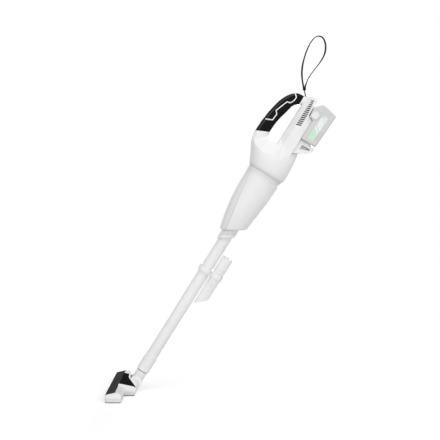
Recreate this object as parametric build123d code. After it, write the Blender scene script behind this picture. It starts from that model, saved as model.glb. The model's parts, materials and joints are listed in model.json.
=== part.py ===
from build123d import *
import math
import os

# Cordless stick vacuum, leaning on its floor head as it is pushed.
# Stick frame: z runs up the stick from the capsule seam, x points to the battery side, y is sideways.
# Floor frame: z is up from the floor under the neck pivot, x runs the same way as the row's X.

# Posture
LEAN = 58.0
GRIP_CENTRE_X = -66.0
GRIP_CENTRE_Z = 155.0
PIVOT_HEIGHT = 31.0

# Clearances
FIT = 0.1
RUN = 0.3
WALL = 2.4

# Tube, cuff and neck
TUBE_OD = 32.0
TUBE_WALL = 1.6
TUBE_TOP = -164.0
TUBE_LENGTH = 434.0
CUFF_WALL = 2.4
CUFF_GRIP = 15.0
SPIGOT_OD = 30.0
SPIGOT_LENGTH = 29.0
NECK_BORE = 22.0
NECK_LENGTH = 14.0
SWIVEL_OD = 26.0
SWIVEL_LENGTH = 13.0
PIVOT_BELOW_SEAM = 19.0
KNUCKLE_R = 16.0
KNUCKLE_HALF = 19.5
PIN_R = 4.0
PIN_LENGTH = 11.0
PIN_IN_KNUCKLE = 6.0

# Floor head
HEAD_HALF = 115.0
HEAD_FRONT = -71.0
HEAD_TOP_FRONT = 21.5
BAR_CREST_X = -44.0
BAR_CREST_Z = 27.6
BAR_BACK = -26.0
HIP_HALF = 50.0
HIP_BACK = 5.0
HIP_TUCK = 6.0
HIP_TUCK_Z = 24.0
RIDGE_TOP_X = -34.0
RIDGE_TOP_Z = 50.5
HIP_CORNER_R = 9.0
SOLE_T = 4.0
PANEL_T = 2.5
PANEL_EDGE = 2.0
BEZEL = 4.0
BAR_CORNER_R = 7.0
SOLE_EDGE = 1.5
MOUTH_INSET = 17.0
MOUTH_FRONT = -60.0
MOUTH_DEPTH = 15.0
STRIP_W = 4.0
STRIP_T = 2.7
STRIP_RECESS = 0.3

# Tool holder and crevice tool
HOLDER_Z = -310.0
HOLDER_H = 16.0
HOLDER_WALL = 3.8
HOLDER_RING = 2.0
HOLDER_WEB = 3.8
HOLDER_WEB_HALF = 9.0
CREVICE_ABOVE = 49.0
CREVICE_BELOW = 91.0
CREVICE_WALL = 1.6
END_GROOVE_W = 2.4
END_GROOVE_D = 0.6
CREVICE_TIP_HALF = 6.0
STOP_R = 4.5
STOP_RISE = 1.6

# Dust capsule
SLOPE = 32.0
RING_H = 11.0
RING_R = 48.8
RING_X = -1.5
RING_WALL = 3.4
RING_GROOVE_W = 1.2
RING_GROOVE_D = 1.0
CAPSULE_WALL = 2.4
CAPSULE_FOOT_R = 8.0
CREASE_STEP = 1.1
CAPSULE_FLOOR_Z = -175.0
COLLAR_R = 20.0
COLLAR_Z = -200.0
COLLAR_GROOVE_W = 1.8
COLLAR_GROOVE_D = 1.2
INLET_WALL = 2.4
INLET_TOP = -130.0
FLAP_T = 2.0
FLAP_PIN_R = 1.2
FILTER_R = 36.0
FILTER_TIP_R = 26.0
FILTER_H = 44.0
FLANGE_T = 6.0
PLEATS = 24
PLEAT_DEPTH = 5.0

# Motor
GASKET_T = 3.0
FLOOR_T = 3.7
SHROUD_R = 40.0
SHROUD_H = 19.0
SHROUD_WALL = 1.5
IMPELLER_R = 36.0
IMPELLER_H = 11.5
BLADES = 9
CAN_R = 27.0
CAN_H = 40.0
CAN_WALL = 1.6
SHAFT_R = 2.5
BEARING_R = 5.0
BEARING_H = 4.0
ARMATURE_R = 13.0
ARMATURE_H = 24.0
AIR_GAP = 1.2
REAR_MOUNT_T = 4.0
RIB_T = 3.0

# Handle, with its outlines in the stick's x and z
HANDLE_OUTER = [
    (-76.5, 50), (-83, 67), (-86, 105), (-80, 160), (-63, 211), (-40, 231), (-25, 232.5), (-8, 234),
]
HANDLE_INNER = [(-8, 208), (-25, 206), (-33, 200), (-40, 179), (-47, 150), (-51, 115), (-51, 70), (-51, 50)]
HANDLE_STATIONS = 14
HANDLE_HALF = 17.0
HANDLE_ROUND = 11.0
GRIP_T = 2.5
CORE_ROUND = 6.0
GRIP_END_X = -24.0
TRIM_W = 2.8
PANEL_HALF = 8.0
PANEL_DEPTH = 2.4
BUTTON_LENGTH = 17.0
BUTTON_HALF = 5.5
BUTTON_PROUD = 0.9
BUTTON_TRAVEL = 1.2
BUTTON_GAP = 6.0
BOARD_T = 1.6

# Spine, guard and vents
SPINE_GAP_X = -17.0
SPINE_EDGE_X = -3.0
SPINE_HALF = 27.0
SPINE_FACE_X = 28.0
SPINE_FACE_HALF = 30.0
GUARD_HALF = 26.0
GUARD_GAP = 0.5
GUARD_WEB = 26.0
SHOULDER = [(-54, 36.5), (-8.5, 56), (-10, 72), (-5.5, 92), (-5.5, 120), (-43, 120), (-43, 78)]
HANDLE_ROOT = [(-54, 36.5), (-43, 78), (-43, 120), (-95, 120), (-95, 36.5)]
KITE = [(7.6, 41), (-2.7, 68), (-5, 91), (-5, 110), (18, 110), (17.8, 82)]
FACETS = [
    (SHOULDER, (-30, -29, 80), (-0.237, -0.846, 0.477)),
    (HANDLE_ROOT, (-43, -26.5, 78), (-0.428, -0.761, 0.488)),
    (KITE, (7.6, -51.5, 41.8), (-0.015, -0.89, 0.455)),
]
VENTS = 14
VENT_PITCH = 5.63
VENT_H = 3.2
VENT_START = 156.5
VENT_TURN = 20.0

# Battery pack
PACK_HALF = 37.0
PACK_FOOT = 130.0
PACK_TOP = 236.8
PACK_BACK_X = 75.8
PACK_STEP_Z = 187.0
PACK_EDGE = 3.0
PACK_WALL = 2.2
PACK_SPLIT_X = 42.0
SEAT_GAP = 0.4
TONGUE_HALF = 24.0
TONGUE_RISE = 12.0
TONGUE_START = 144.0
TONGUE_END = 215.0
GROOVE_D = 4.0
GROOVE_OFF = 4.0
RAIL_START = 148.0
LATCH_X = 27.5
LATCH_Z = 202.0
LATCH_HALF = 10.0
LATCH_SHAPE = [(-10.5, -7), (-10, 8.5), (2.5, 11.5), (10, 4), (9, -9), (1.5, -11.5)]
LATCH_T = 3.4
LATCH_PROUD = 1.2
LATCH_TRAVEL = 3.0
CELL_R = 9.2
CELL_LENGTH = 65.0
CELL_GAP = 0.6
CELLS = 5
LABEL_T = 0.6
BLADE_T = 0.8
BLADE_PITCH = 9.0
BLADE_LENGTH = 18.0

# Screws
SCREW_R = 1.5
SCREW_HEAD_R = 3.0
SCREW_HEAD_H = 2.4
SCREW_LENGTH = 16.0
BOSS_WALL = 2.8

# Wrist strap, in the row frame
STRAP_D = 3.2
TAIL_D = 2.2
CRIMP_X = 78.2
CRIMP_Z = 59.5
CRIMP_H = 9.0
CRIMP_HALF_X = 4.2
CRIMP_HALF_Y = 2.4
STRAP_ROUTE = [
    (76.4, 67.5), (72.0, 86.0), (70.8, 116.0), (77.5, 148.0), (89.5, 180.0), (106.0, 203.0), (124.5, 203.5),
    (135.2, 184.0), (133.5, 157.0), (119.0, 132.0), (100.5, 109.5), (85.5, 88.0), (80.0, 67.5),
]
LUG_X = -19.5
LUG_RISE = 3.0
LUG_R = 4.5
LUG_HOLE_R = 2.8
LUG_HALF = 2.0

# Worked out from the sizes above
TUBE_FOOT = TUBE_TOP - TUBE_LENGTH
CUFF_TOP = TUBE_FOOT + CUFF_GRIP
CUFF_FOOT = TUBE_FOOT - SPIGOT_LENGTH - 1.0
SWIVEL_Z = CUFF_FOOT - NECK_LENGTH
PIVOT_Z = SWIVEL_Z - PIVOT_BELOW_SEAM
CREVICE_X = TUBE_OD / 2 + FIT + HOLDER_WEB + FIT + SPIGOT_OD / 2
HOLDER_TOP = HOLDER_Z + HOLDER_H
FIT_BORE = SPIGOT_OD / 2 + FIT
TILT = 90.0 - LEAN
MOUTH_HALF = HEAD_HALF - MOUTH_INSET
PIN_END = KNUCKLE_HALF + PIN_LENGTH - PIN_IN_KNUCKLE
LUG_Z = HANDLE_OUTER[-2][1] + LUG_RISE
BUTTON_PITCH = BUTTON_LENGTH + BUTTON_GAP
BUTTON_END = (BUTTON_PITCH + BUTTON_LENGTH) / 2
BOARD_HALF = BUTTON_END + 2.5
PANEL_LENGTH = 2 * (BOARD_HALF + 3.5)
CASING_Z = RUN
GUARD_TOP = PACK_FOOT - GUARD_GAP
MOTOR_X = RING_X
SHROUD_Z = CASING_Z + FLOOR_T + GASKET_T
CAN_Z = SHROUD_Z + SHROUD_H
CAN_TOP = CAN_Z + CAN_H
RIB_Z = CAN_TOP + REAR_MOUNT_T
CHANNEL_X = SPINE_FACE_X - TONGUE_RISE - SEAT_GAP
PACK_FACE_X = SPINE_FACE_X + RUN
STEP_Z = PACK_STEP_Z - 0.8
RAIL_END = PACK_STEP_Z - 4.0
FAR = 400.0

ROW = Rot(0, TILT, 0) * Pos(-GRIP_CENTRE_X, 0, -GRIP_CENTRE_Z)
PIVOT = (ROW * Pos(0, 0, PIVOT_Z)).position
FLOOR = Pos(PIVOT.X, 0, PIVOT.Z - PIVOT_HEIGHT)

parts = {}


# Shape helpers
def cyl(radius, z0, z1, x=0.0, y=0.0):
    return Pos(x, y, (z0 + z1) / 2) * Cylinder(radius, z1 - z0)


def pipe(outer, inner, z0, z1, x=0.0):
    return cyl(outer, z0, z1, x) - cyl(inner, z0 - 1, z1 + 1, x)


def block(x0, x1, y0, y1, z0, z1):
    return Pos((x0 + x1) / 2, (y0 + y1) / 2, (z0 + z1) / 2) * Box(x1 - x0, y1 - y0, z1 - z0)


def cross(radius, x, z, y0, y1):
    return Pos(x, (y0 + y1) / 2, z) * Rot(90, 0, 0) * Cylinder(radius, y1 - y0)


def outline(points):
    return Plane.XZ * make_face(Polyline(*points, close=True))


def slab(points, half):
    return extrude(outline(points), half, both=True)


def both_sides(shape):
    return shape + mirror(shape, Plane.XZ)


def beyond(point, normal):
    return Plane(origin=point, z_dir=normal) * Pos(0, 0, FAR / 2) * Box(2 * FAR, 2 * FAR, FAR)


def below_slope(z):
    run = math.tan(math.radians(SLOPE))
    return slab([(-FAR, z - FAR * run), (FAR, z + FAR * run), (FAR, z - 2 * FAR), (-FAR, z - 2 * FAR)], FAR)


def near_half(shape):
    return shape & block(-FAR, FAR, -FAR, 0, -FAR, FAR)


def far_half(shape):
    return shape & block(-FAR, FAR, 0, FAR, -FAR, FAR)


def tube_along(path, radius):
    return sweep(Plane(origin=path @ 0, z_dir=path % 0) * Circle(radius), path=path)


# Tube, cuff, neck and knuckle
def make_tube():
    parts["tube"] = ROW * pipe(TUBE_OD / 2, TUBE_OD / 2 - TUBE_WALL, TUBE_FOOT, TUBE_TOP)
    cuff = cyl(TUBE_OD / 2 + CUFF_WALL / 2 + 0.3, CUFF_FOOT, CUFF_TOP)
    cuff = cuff - cyl(TUBE_OD / 2, TUBE_FOOT, CUFF_TOP + 1) - cyl(FIT_BORE, CUFF_FOOT - 1, TUBE_FOOT + 1)
    parts["tube_cuff"] = ROW * chamfer(cuff.edges().group_by(Axis.Z)[-1].sort_by(SortBy.RADIUS)[-1], 0.8)


def make_neck():
    neck = cyl(SPIGOT_OD / 2, SWIVEL_Z, CUFF_FOOT + SPIGOT_LENGTH)
    neck = neck + cyl(SWIVEL_OD / 2, SWIVEL_Z - SWIVEL_LENGTH, SWIVEL_Z)
    neck = neck - cyl(NECK_BORE / 2, SWIVEL_Z - SWIVEL_LENGTH - 1, CUFF_FOOT + SPIGOT_LENGTH + 1)
    parts["neck_pipe"] = ROW * neck


def make_knuckle():
    stub = cyl(SPIGOT_OD / 2, PIVOT_Z, SWIVEL_Z - RUN)
    knuckle = stub + cross(KNUCKLE_R, 0, PIVOT_Z, -KNUCKLE_HALF, KNUCKLE_HALF)
    knuckle = knuckle - cyl(SWIVEL_OD / 2 + FIT, SWIVEL_Z - SWIVEL_LENGTH - RUN, SWIVEL_Z)
    knuckle = knuckle - cyl(NECK_BORE / 2, PIVOT_Z, SWIVEL_Z)
    intake = Pos(0, 0, PIVOT_Z) * Rot(0, -90 - TILT, 0) * cyl(NECK_BORE / 2, 0, 2 * KNUCKLE_R)
    pins = both_sides(cross(PIN_R, 0, PIVOT_Z, KNUCKLE_HALF - PIN_IN_KNUCKLE, PIN_END))
    parts["neck_knuckle"] = ROW * (knuckle - intake - pins)
    parts["pivot_pins"] = ROW * pins


# Floor head
def hip_back(z):
    return HIP_BACK - HIP_TUCK * max(0, 1 - z / HIP_TUCK_Z)


def head_form():
    bar = [
        (HEAD_FRONT, 0), (HEAD_FRONT + 1, HEAD_TOP_FRONT), (BAR_CREST_X, BAR_CREST_Z),
        (BAR_BACK - 5, BAR_CREST_Z - 3), (BAR_BACK, 12), (BAR_BACK - 4, 0),
    ]
    bar = slab(bar, HEAD_HALF)
    plan = block(HEAD_FRONT, BAR_BACK, -HEAD_HALF, HEAD_HALF, 0, FAR)
    plan = fillet(plan.edges().filter_by(Axis.Z), BAR_CORNER_R)
    bar = bar & chamfer(plan.edges().group_by(Axis.Z)[0], SOLE_EDGE)
    hip = block(HEAD_FRONT + 2, HIP_BACK, -HIP_HALF, HIP_HALF, 0, RIDGE_TOP_Z)
    hip = fillet(hip.edges().filter_by(Axis.Z).group_by(Axis.X)[-1], HIP_CORNER_R)
    tuck = [(HIP_BACK + 1, HIP_TUCK_Z), (HIP_BACK, HIP_TUCK_Z), (hip_back(0), 0), (HIP_BACK + 1, 0)]
    hip = hip - slab(tuck, FAR)
    front = (-0.668, -0.146, 0.73)
    rear = (0.194, -0.336, 0.922)
    top = (RIDGE_TOP_X, 0, RIDGE_TOP_Z)
    for side in (1, -1):
        for normal in (front, rear):
            hip = hip - beyond(top, (normal[0], side * normal[1], normal[2]))
    return bar + hip


def neck_room():
    reach = SPIGOT_OD / 2 + 2 * RUN
    sweep_room = [
        (-reach, PIVOT_HEIGHT), (-reach, 3 * PIVOT_HEIGHT), (4 * reach, 3 * PIVOT_HEIGHT),
        (4 * reach, PIVOT_HEIGHT - reach), (0, PIVOT_HEIGHT - reach),
    ]
    chamber = cross(KNUCKLE_R + RUN, 0, PIVOT_HEIGHT, -KNUCKLE_HALF - RUN, KNUCKLE_HALF + RUN)
    return chamber + slab(sweep_room, reach)


def head_hollow():
    front = HEAD_FRONT + WALL + 1
    roof = WALL + PANEL_T
    bar = slab([
        (front, SOLE_T), (front, HEAD_TOP_FRONT - roof), (BAR_CREST_X, BAR_CREST_Z - roof),
        (BAR_BACK - 7, BAR_CREST_Z - 9), (BAR_BACK - 4, 12), (BAR_BACK - 6, SOLE_T),
    ], HEAD_HALF - WALL)
    duct = [(MOUTH_FRONT, SOLE_T), (MOUTH_FRONT, HEAD_TOP_FRONT - 6), (-30, 34), (-5, 34), (-5, SOLE_T)]
    duct = slab(duct, NECK_BORE / 2 + 3)
    wall = WALL + 1.5
    pocket = [
        (BAR_BACK, SOLE_T), (BAR_BACK, 18), (hip_back(15) - wall, 15), (hip_back(SOLE_T) - wall, SOLE_T),
    ]
    pocket = slab(pocket, HIP_HALF - WALL)
    inner = PIN_END + WALL
    return bar + duct + (pocket - block(-FAR, FAR, -inner, inner, 0, FAR))


def head_screw_places():
    places = ((BAR_BACK - 10, HEAD_HALF - 12), (-9, HIP_HALF - 12))
    return [(x, side * y) for side in (1, -1) for x, y in places]


def make_head():
    form = head_form() - neck_room()
    skin = form - Pos(0, 0, -PANEL_T) * form
    rear_edge = HIP_BACK - PANEL_EDGE
    side_edge = HIP_HALF - 0.6
    end_edge = HEAD_HALF - PANEL_EDGE
    area = block(HEAD_FRONT + 1.2, BAR_CREST_X, -end_edge, end_edge, HEAD_TOP_FRONT - 2, FAR)
    area = area + block(BAR_CREST_X - 1, rear_edge, -side_edge, side_edge, HEAD_TOP_FRONT - 2, FAR)
    neck_edge = -KNUCKLE_R - BEZEL
    open_y = KNUCKLE_HALF - BEZEL
    notch = [(rear_edge, -side_edge), (neck_edge, -open_y), (neck_edge, open_y), (rear_edge, side_edge)]
    area = area - extrude(make_face(Polyline(*notch, close=True)), FAR)
    panel = skin & area
    panel = Compound(children=[s for s in panel.solids() if s.volume > 500])
    holes = both_sides(cross(PIN_R + FIT, 0, PIVOT_HEIGHT, KNUCKLE_HALF, PIN_END + RUN))
    cover = (form & block(-FAR, FAR, -FAR, FAR, SOLE_T, FAR)) - panel - head_hollow() - holes
    sole = form & block(-FAR, FAR, -FAR, FAR, 0, SOLE_T)
    sole = sole - block(MOUTH_FRONT, MOUTH_FRONT + MOUTH_DEPTH, -MOUTH_HALF, MOUTH_HALF, -1, SOLE_T + 1)
    strips = None
    for x in (MOUTH_FRONT - STRIP_W - 2, MOUTH_FRONT + MOUTH_DEPTH + 2):
        strip = block(x, x + STRIP_W, -MOUTH_HALF, MOUTH_HALF, STRIP_RECESS, STRIP_RECESS + STRIP_T)
        sole = sole - block(x, x + STRIP_W, -MOUTH_HALF, MOUTH_HALF, -1, STRIP_RECESS + STRIP_T)
        strips = strip if strips is None else strips + strip
    screws = None
    for x, y in head_screw_places():
        cover = cover + (cyl(SCREW_R + BOSS_WALL, SOLE_T, 16, x, y) & form)
        cover = cover - cyl(SCREW_R, SOLE_T - 1, 13, x, y)
        sole = sole - cyl(SCREW_R, -1, SOLE_T + 1, x, y) - cyl(SCREW_HEAD_R, -1, SCREW_HEAD_H + 0.4, x, y)
        screw = cyl(SCREW_HEAD_R, 0.4, SCREW_HEAD_H + 0.4, x, y) + cyl(SCREW_R, SCREW_HEAD_H, 12, x, y)
        screws = screw if screws is None else screws + screw
    parts["head_cover"] = FLOOR * cover
    parts["head_panel"] = FLOOR * panel
    parts["sole_plate"] = FLOOR * sole
    parts["lint_strips"] = FLOOR * strips
    parts["sole_screws"] = FLOOR * screws


# Tool holder and crevice tool
def make_holder():
    ring = cyl(TUBE_OD / 2 + FIT + HOLDER_WALL, HOLDER_Z, HOLDER_TOP)
    eye = cyl(FIT_BORE + HOLDER_RING, HOLDER_Z, HOLDER_TOP, CREVICE_X)
    web = block(0, CREVICE_X, -HOLDER_WEB_HALF, HOLDER_WEB_HALF, HOLDER_Z, HOLDER_TOP)
    holder = ring + eye + web
    holder = holder - cyl(TUBE_OD / 2 + FIT, HOLDER_Z - 1, HOLDER_TOP + 1)
    holder = holder - cyl(FIT_BORE, HOLDER_Z - 1, HOLDER_TOP + 1, CREVICE_X)
    parts["tool_holder"] = ROW * holder


def crevice_form(inset):
    half = SPIGOT_OD / 2 - inset
    foot = HOLDER_Z - CREVICE_BELOW
    stations = [(HOLDER_Z - 8, half), (HOLDER_Z - 40, half * 0.62), (foot, CREVICE_TIP_HALF - inset)]
    blade = loft([Pos(CREVICE_X, 0, z) * Ellipse(half, y) for z, y in stations])
    return blade + cyl(half, HOLDER_Z - 8, HOLDER_TOP + CREVICE_ABOVE, CREVICE_X)


def make_crevice():
    tip = HOLDER_Z - CREVICE_BELOW + SPIGOT_OD / 2 + 2
    above_tip = beyond((CREVICE_X, 0, tip), (0.68, 0, -0.73))
    tool = crevice_form(0) - above_tip
    rise = SPIGOT_OD / 2 + STOP_RISE
    stop_z = HOLDER_TOP + STOP_R + RUN
    tool = tool + cross(STOP_R, CREVICE_X, stop_z, -rise, rise)
    shoulder = stop_z + STOP_R + RUN
    floor_r = SPIGOT_OD / 2 - END_GROOVE_D
    groove = pipe(rise, floor_r, shoulder, shoulder + END_GROOVE_W, CREVICE_X)
    end = HOLDER_TOP + CREVICE_ABOVE
    bore = cyl(SPIGOT_OD / 2 - CREVICE_WALL, HOLDER_TOP, end + 1, CREVICE_X)
    parts["crevice_tool"] = ROW * (tool - groove - crevice_form(CREVICE_WALL) - bore)


# Dust capsule
def capsule_section(z, left, right, crease, radius, inset):
    centre = right - radius
    belly_r = radius - inset
    reach = math.sqrt(belly_r**2 - (crease - centre) ** 2)
    sagitta = crease - (left + inset)
    top_r = (reach**2 + sagitta**2) / (2 * sagitta)
    top_centre = left + inset + top_r
    belly_turn = math.atan2(reach, crease - centre) / 2
    top_turn = math.atan2(reach, top_centre - crease) / 2
    belly_mid = (centre + belly_r * math.cos(belly_turn), belly_r * math.sin(belly_turn))
    top_mid = (top_centre - top_r * math.cos(top_turn), top_r * math.sin(top_turn))
    belly, top, far = (right - inset, 0), (left + inset, 0), (crease, reach)

    def flip(point):
        return (point[0], -point[1])

    edges = [
        ThreePointArc(belly, belly_mid, far),
        ThreePointArc(far, top_mid, top),
        ThreePointArc(top, flip(top_mid), flip(far)),
        ThreePointArc(flip(far), flip(belly_mid), belly),
    ]
    return Pos(0, 0, z) * make_face(edges)


def capsule_stations():
    left, right = RING_X - RING_R + 0.3, RING_X + RING_R - 0.3
    rim = right - RING_X
    return [
        (-RING_H, left, right, -36.0, rim),
        (-38.0, left + 0.2, right - 0.8, -34.0, rim - 0.4),
        (-80.0, left + 2.2, right - 3.2, -30.5, rim - 1.5),
        (-120.0, left + 6.8, right - 7.4, -24.0, rim - 4.0),
        (-155.0, left + 13.5, right - 11.0, -17.5, rim - 9.0),
        (-205.0, left + 24.0, right - 16.0, -9.5, rim - 18.0),
    ]


def capsule_form(inset):
    return loft([capsule_section(*station, inset) for station in capsule_stations()])


def round_foot(form):
    foot = form.faces().filter_by(lambda f: abs(f.normal_at().Z) > 0.5).sort_by(Axis.Z)[0]
    return fillet(foot.edges(), CAPSULE_FOOT_R)


def capsule_outside(inset):
    return round_foot(capsule_form(inset) - below_slope(CAPSULE_FLOOR_Z))


def capsule_inside():
    rise = CAPSULE_WALL / math.cos(math.radians(SLOPE))
    return round_foot(capsule_form(CAPSULE_WALL) - below_slope(CAPSULE_FLOOR_Z + rise))


def crease_zone():
    line = [(station[3], station[0]) for station in capsule_stations()]
    return slab([(-FAR, 0), (line[0][0], 0), *line, (line[-1][0], -FAR), (-FAR, -FAR)], FAR)


def make_capsule():
    floor = CAPSULE_FLOOR_Z
    shell = capsule_outside(0) - (crease_zone() - capsule_outside(CREASE_STEP))
    inlet_r = TUBE_OD / 2 + FIT + INLET_WALL
    shell = shell - capsule_inside() - cyl(inlet_r, 2 * floor, INLET_TOP)
    parts["capsule_shell"] = ROW * shell

    ring = pipe(RING_R, RING_R - RING_WALL, -RING_H, 0, RING_X)
    for z in (-RING_H + 2.0, -RING_H + 6.5):
        ring = ring - pipe(RING_R + 1, RING_R - RING_GROOVE_D, z, z + RING_GROOVE_W, RING_X)
    parts["capsule_ring"] = ROW * ring

    collar = cyl(COLLAR_R, 2 * floor, 0) - below_slope(COLLAR_Z)
    band = (COLLAR_Z + floor - COLLAR_GROOVE_W) / 2
    band = below_slope(band + COLLAR_GROOVE_W) - below_slope(band)
    band = band & pipe(COLLAR_R + 1, COLLAR_R - COLLAR_GROOVE_D, 2 * floor, 0)
    collar = (collar & below_slope(floor)) - band
    stem = cyl(inlet_r, 2 * floor, INLET_TOP) - below_slope(floor)
    lug_x = -inlet_r - FLAP_PIN_R - 0.8
    pin_z = INLET_TOP + RUN + FLAP_T / 2
    lug_r = FLAP_PIN_R + 1.1
    lug = cross(lug_r, lug_x, pin_z, 6, 9) + block(lug_x - lug_r, lug_x + lug_r, 6, 9, INLET_TOP - 8, pin_z)
    lugs = both_sides(lug + block(lug_x, -inlet_r + 4, 6, 9, INLET_TOP - 8, INLET_TOP - 0.5))
    inlet = collar + stem + lugs - cyl(TUBE_OD / 2 + FIT, 2 * floor, TUBE_TOP + RUN)
    inlet = inlet - cyl(TUBE_OD / 2 - TUBE_WALL, TUBE_TOP, 0) - cross(FLAP_PIN_R, lug_x, pin_z, -9.5, 9.5)
    parts["inlet_pipe"] = ROW * inlet
    parts["flap_pin"] = ROW * cross(FLAP_PIN_R, lug_x, pin_z, -9, 9)

    flap = cyl(inlet_r - 0.5, INLET_TOP + RUN, INLET_TOP + RUN + FLAP_T)
    eye = cross(FLAP_PIN_R + 1.0, lug_x, pin_z, -5.5, 5.5)
    eye = eye + block(lug_x, 0, -5.5, 5.5, INLET_TOP + RUN, INLET_TOP + RUN + FLAP_T)
    parts["inlet_flap"] = ROW * (flap + eye - cross(FLAP_PIN_R + 0.05, lug_x, pin_z, -7, 7))


def pleat_star(outer, inner, z):
    corners = []
    for i in range(2 * PLEATS):
        r = outer if i % 2 == 0 else inner
        turn = math.pi * i / PLEATS
        corners.append((r * math.cos(turn), r * math.sin(turn)))
    return Pos(RING_X, 0, z) * make_face(Polyline(*corners, close=True))


def make_filter():
    top = CASING_Z - FLANGE_T
    foot = top - FILTER_H
    core_r = FILTER_R - PLEAT_DEPTH - 2
    frame = pipe(RING_R - RING_WALL - RUN, core_r, top, CASING_Z, RING_X)
    frame = frame + cyl(FILTER_TIP_R, foot - 2.5, foot, RING_X)
    tip_star = pleat_star(FILTER_TIP_R, FILTER_TIP_R - PLEAT_DEPTH, foot)
    top_star = pleat_star(FILTER_R, FILTER_R - PLEAT_DEPTH, top)
    core = Pos(RING_X, 0, (foot + top) / 2) * Cone(FILTER_TIP_R - PLEAT_DEPTH - 2, core_r, FILTER_H)
    parts["filter_frame"] = ROW * frame
    parts["filter_pleats"] = ROW * (loft([tip_star, top_star], ruled=True) - core)


# Motor, seen from the filter side: gasket, shroud with the impeller, then the can
def make_motor():
    floor_top = CASING_Z + FLOOR_T
    parts["motor_gasket"] = ROW * pipe(SHROUD_R, SHROUD_R - 8, floor_top, SHROUD_Z, MOTOR_X)
    shroud = cyl(SHROUD_R, SHROUD_Z, CAN_Z, MOTOR_X)
    shroud = shroud - cyl(SHROUD_R - SHROUD_WALL, SHROUD_Z + SHROUD_WALL, CAN_Z - SHROUD_WALL, MOTOR_X)
    shroud = shroud - cyl(IMPELLER_R / 2, SHROUD_Z - 1, SHROUD_Z + 3, MOTOR_X)
    shroud = shroud - cyl(2 * BEARING_R, CAN_Z - 3, CAN_Z + 1, MOTOR_X)
    parts["fan_shroud"] = ROW * shroud
    can = cyl(CAN_R, CAN_Z, CAN_TOP, MOTOR_X)
    can = can - cyl(CAN_R - CAN_WALL, CAN_Z + CAN_WALL, CAN_TOP - CAN_WALL, MOTOR_X)
    parts["motor_can"] = ROW * (can - cyl(BEARING_R, CAN_Z - 1, CAN_TOP + 1, MOTOR_X))
    seats = (CAN_Z, CAN_TOP - BEARING_H)
    bearings = [pipe(BEARING_R, SHAFT_R + 0.05, z, z + BEARING_H, MOTOR_X) for z in seats]
    parts["motor_bearings"] = ROW * (bearings[0] + bearings[1])
    mid = (CAN_Z + CAN_TOP) / 2
    low, high = mid - ARMATURE_H / 2, mid + ARMATURE_H / 2
    parts["stator"] = ROW * pipe(CAN_R - CAN_WALL, ARMATURE_R + AIR_GAP, low, high, MOTOR_X)
    fan_z = SHROUD_Z + SHROUD_WALL + 2.0
    rotor = cyl(SHAFT_R, fan_z, CAN_TOP + 2, MOTOR_X) + cyl(ARMATURE_R, low, high, MOTOR_X)
    parts["rotor"] = ROW * rotor
    disc = fan_z + IMPELLER_H - 1.5
    fan = cyl(IMPELLER_R, disc, fan_z + IMPELLER_H, MOTOR_X) + cyl(6, fan_z, fan_z + IMPELLER_H, MOTOR_X)
    for i in range(BLADES):
        vane = Pos(14, 0, 0) * Rot(0, 0, 38) * Pos(10, 0, (fan_z + disc) / 2) * Box(24, 1.3, disc - fan_z)
        fan = fan + Pos(MOTOR_X, 0, 0) * Rot(0, 0, 360 * i / BLADES) * vane
    fan = fan & cyl(IMPELLER_R, fan_z, fan_z + IMPELLER_H, MOTOR_X)
    parts["impeller"] = ROW * (fan - cyl(SHAFT_R, fan_z - 1, fan_z + IMPELLER_H + 1, MOTOR_X))
    parts["motor_rear_mount"] = ROW * pipe(CAN_R - 3, CAN_R - 11, CAN_TOP, RIB_Z, MOTOR_X)


# Handle outlines, shared by the casing and the grip skins
def inset_spline(points, inset):
    curve = Spline(*points)
    moved = []
    for i in range(HANDLE_STATIONS + 1):
        share = i / HANDLE_STATIONS
        at, along = curve @ share, curve % share
        moved.append((at.X + inset * along.Y, at.Y - inset * along.X))
    return Spline(*moved)


def handle_face(inset):
    outer = inset_spline(HANDLE_OUTER, inset)
    inner = inset_spline(HANDLE_INNER, inset)
    return Plane.XZ * make_face([outer, Line(outer @ 1, inner @ 0), inner, Line(inner @ 1, outer @ 0)])


def rounded_bar(face, half, radius):
    bar = extrude(face, half, both=True)
    long_edges = bar.edges().filter_by(lambda e: e.length > 30 and abs(abs(e.center().Y) - half) < 0.01)
    return fillet(long_edges, radius)


def grip_zone():
    return slab([(-120, 70.7), (GRIP_END_X, 115.7), (GRIP_END_X, 260), (-120, 260)], 60)


def panel_place():
    return Pos(-83.2, 0, 132.0) * Rot(0, 6.2, 0)


def panel_pocket(room):
    half, deep = PANEL_HALF + room, PANEL_DEPTH
    return panel_place() * block(-6, deep, -half, half, -PANEL_LENGTH / 2 - room, PANEL_LENGTH / 2 + room)


def button_places():
    return {"power_button": BUTTON_PITCH / 2, "mode_button": -BUTTON_PITCH / 2}


def button_form(z, room, x0, x1):
    half_z = BUTTON_LENGTH / 2 + room
    form = block(x0, x1, -BUTTON_HALF - room, BUTTON_HALF + room, z - half_z, z + half_z)
    return fillet(form.edges().filter_by(Axis.X), 4.0)


def switch_room():
    half_y, half_z = BUTTON_HALF + 1, BOARD_HALF + 1.5
    return panel_place() * block(PANEL_DEPTH - 0.1, 12, -half_y, half_y, -half_z, half_z)


def trim_line(width):
    line = Polyline(
        (-52, 229), (-40, 218), (-40.5, 208), (-45.5, 197.5), (-55, 194.5), (-67.5, 160), (-60.5, 153),
        (-62, 134), (-79, 126.5),
    )
    return Plane.XZ * offset(line, width / 2, side=Side.BOTH)


def make_handle():
    full = rounded_bar(handle_face(0), HANDLE_HALF, HANDLE_ROUND)
    core = rounded_bar(handle_face(GRIP_T), HANDLE_HALF - GRIP_T, CORE_ROUND)
    hollow = extrude(handle_face(GRIP_T + WALL), HANDLE_HALF - GRIP_T - WALL - 1, both=True)
    return full, core, hollow & block(-FAR, SPINE_GAP_X, -FAR, FAR, -FAR, FAR)


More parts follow.
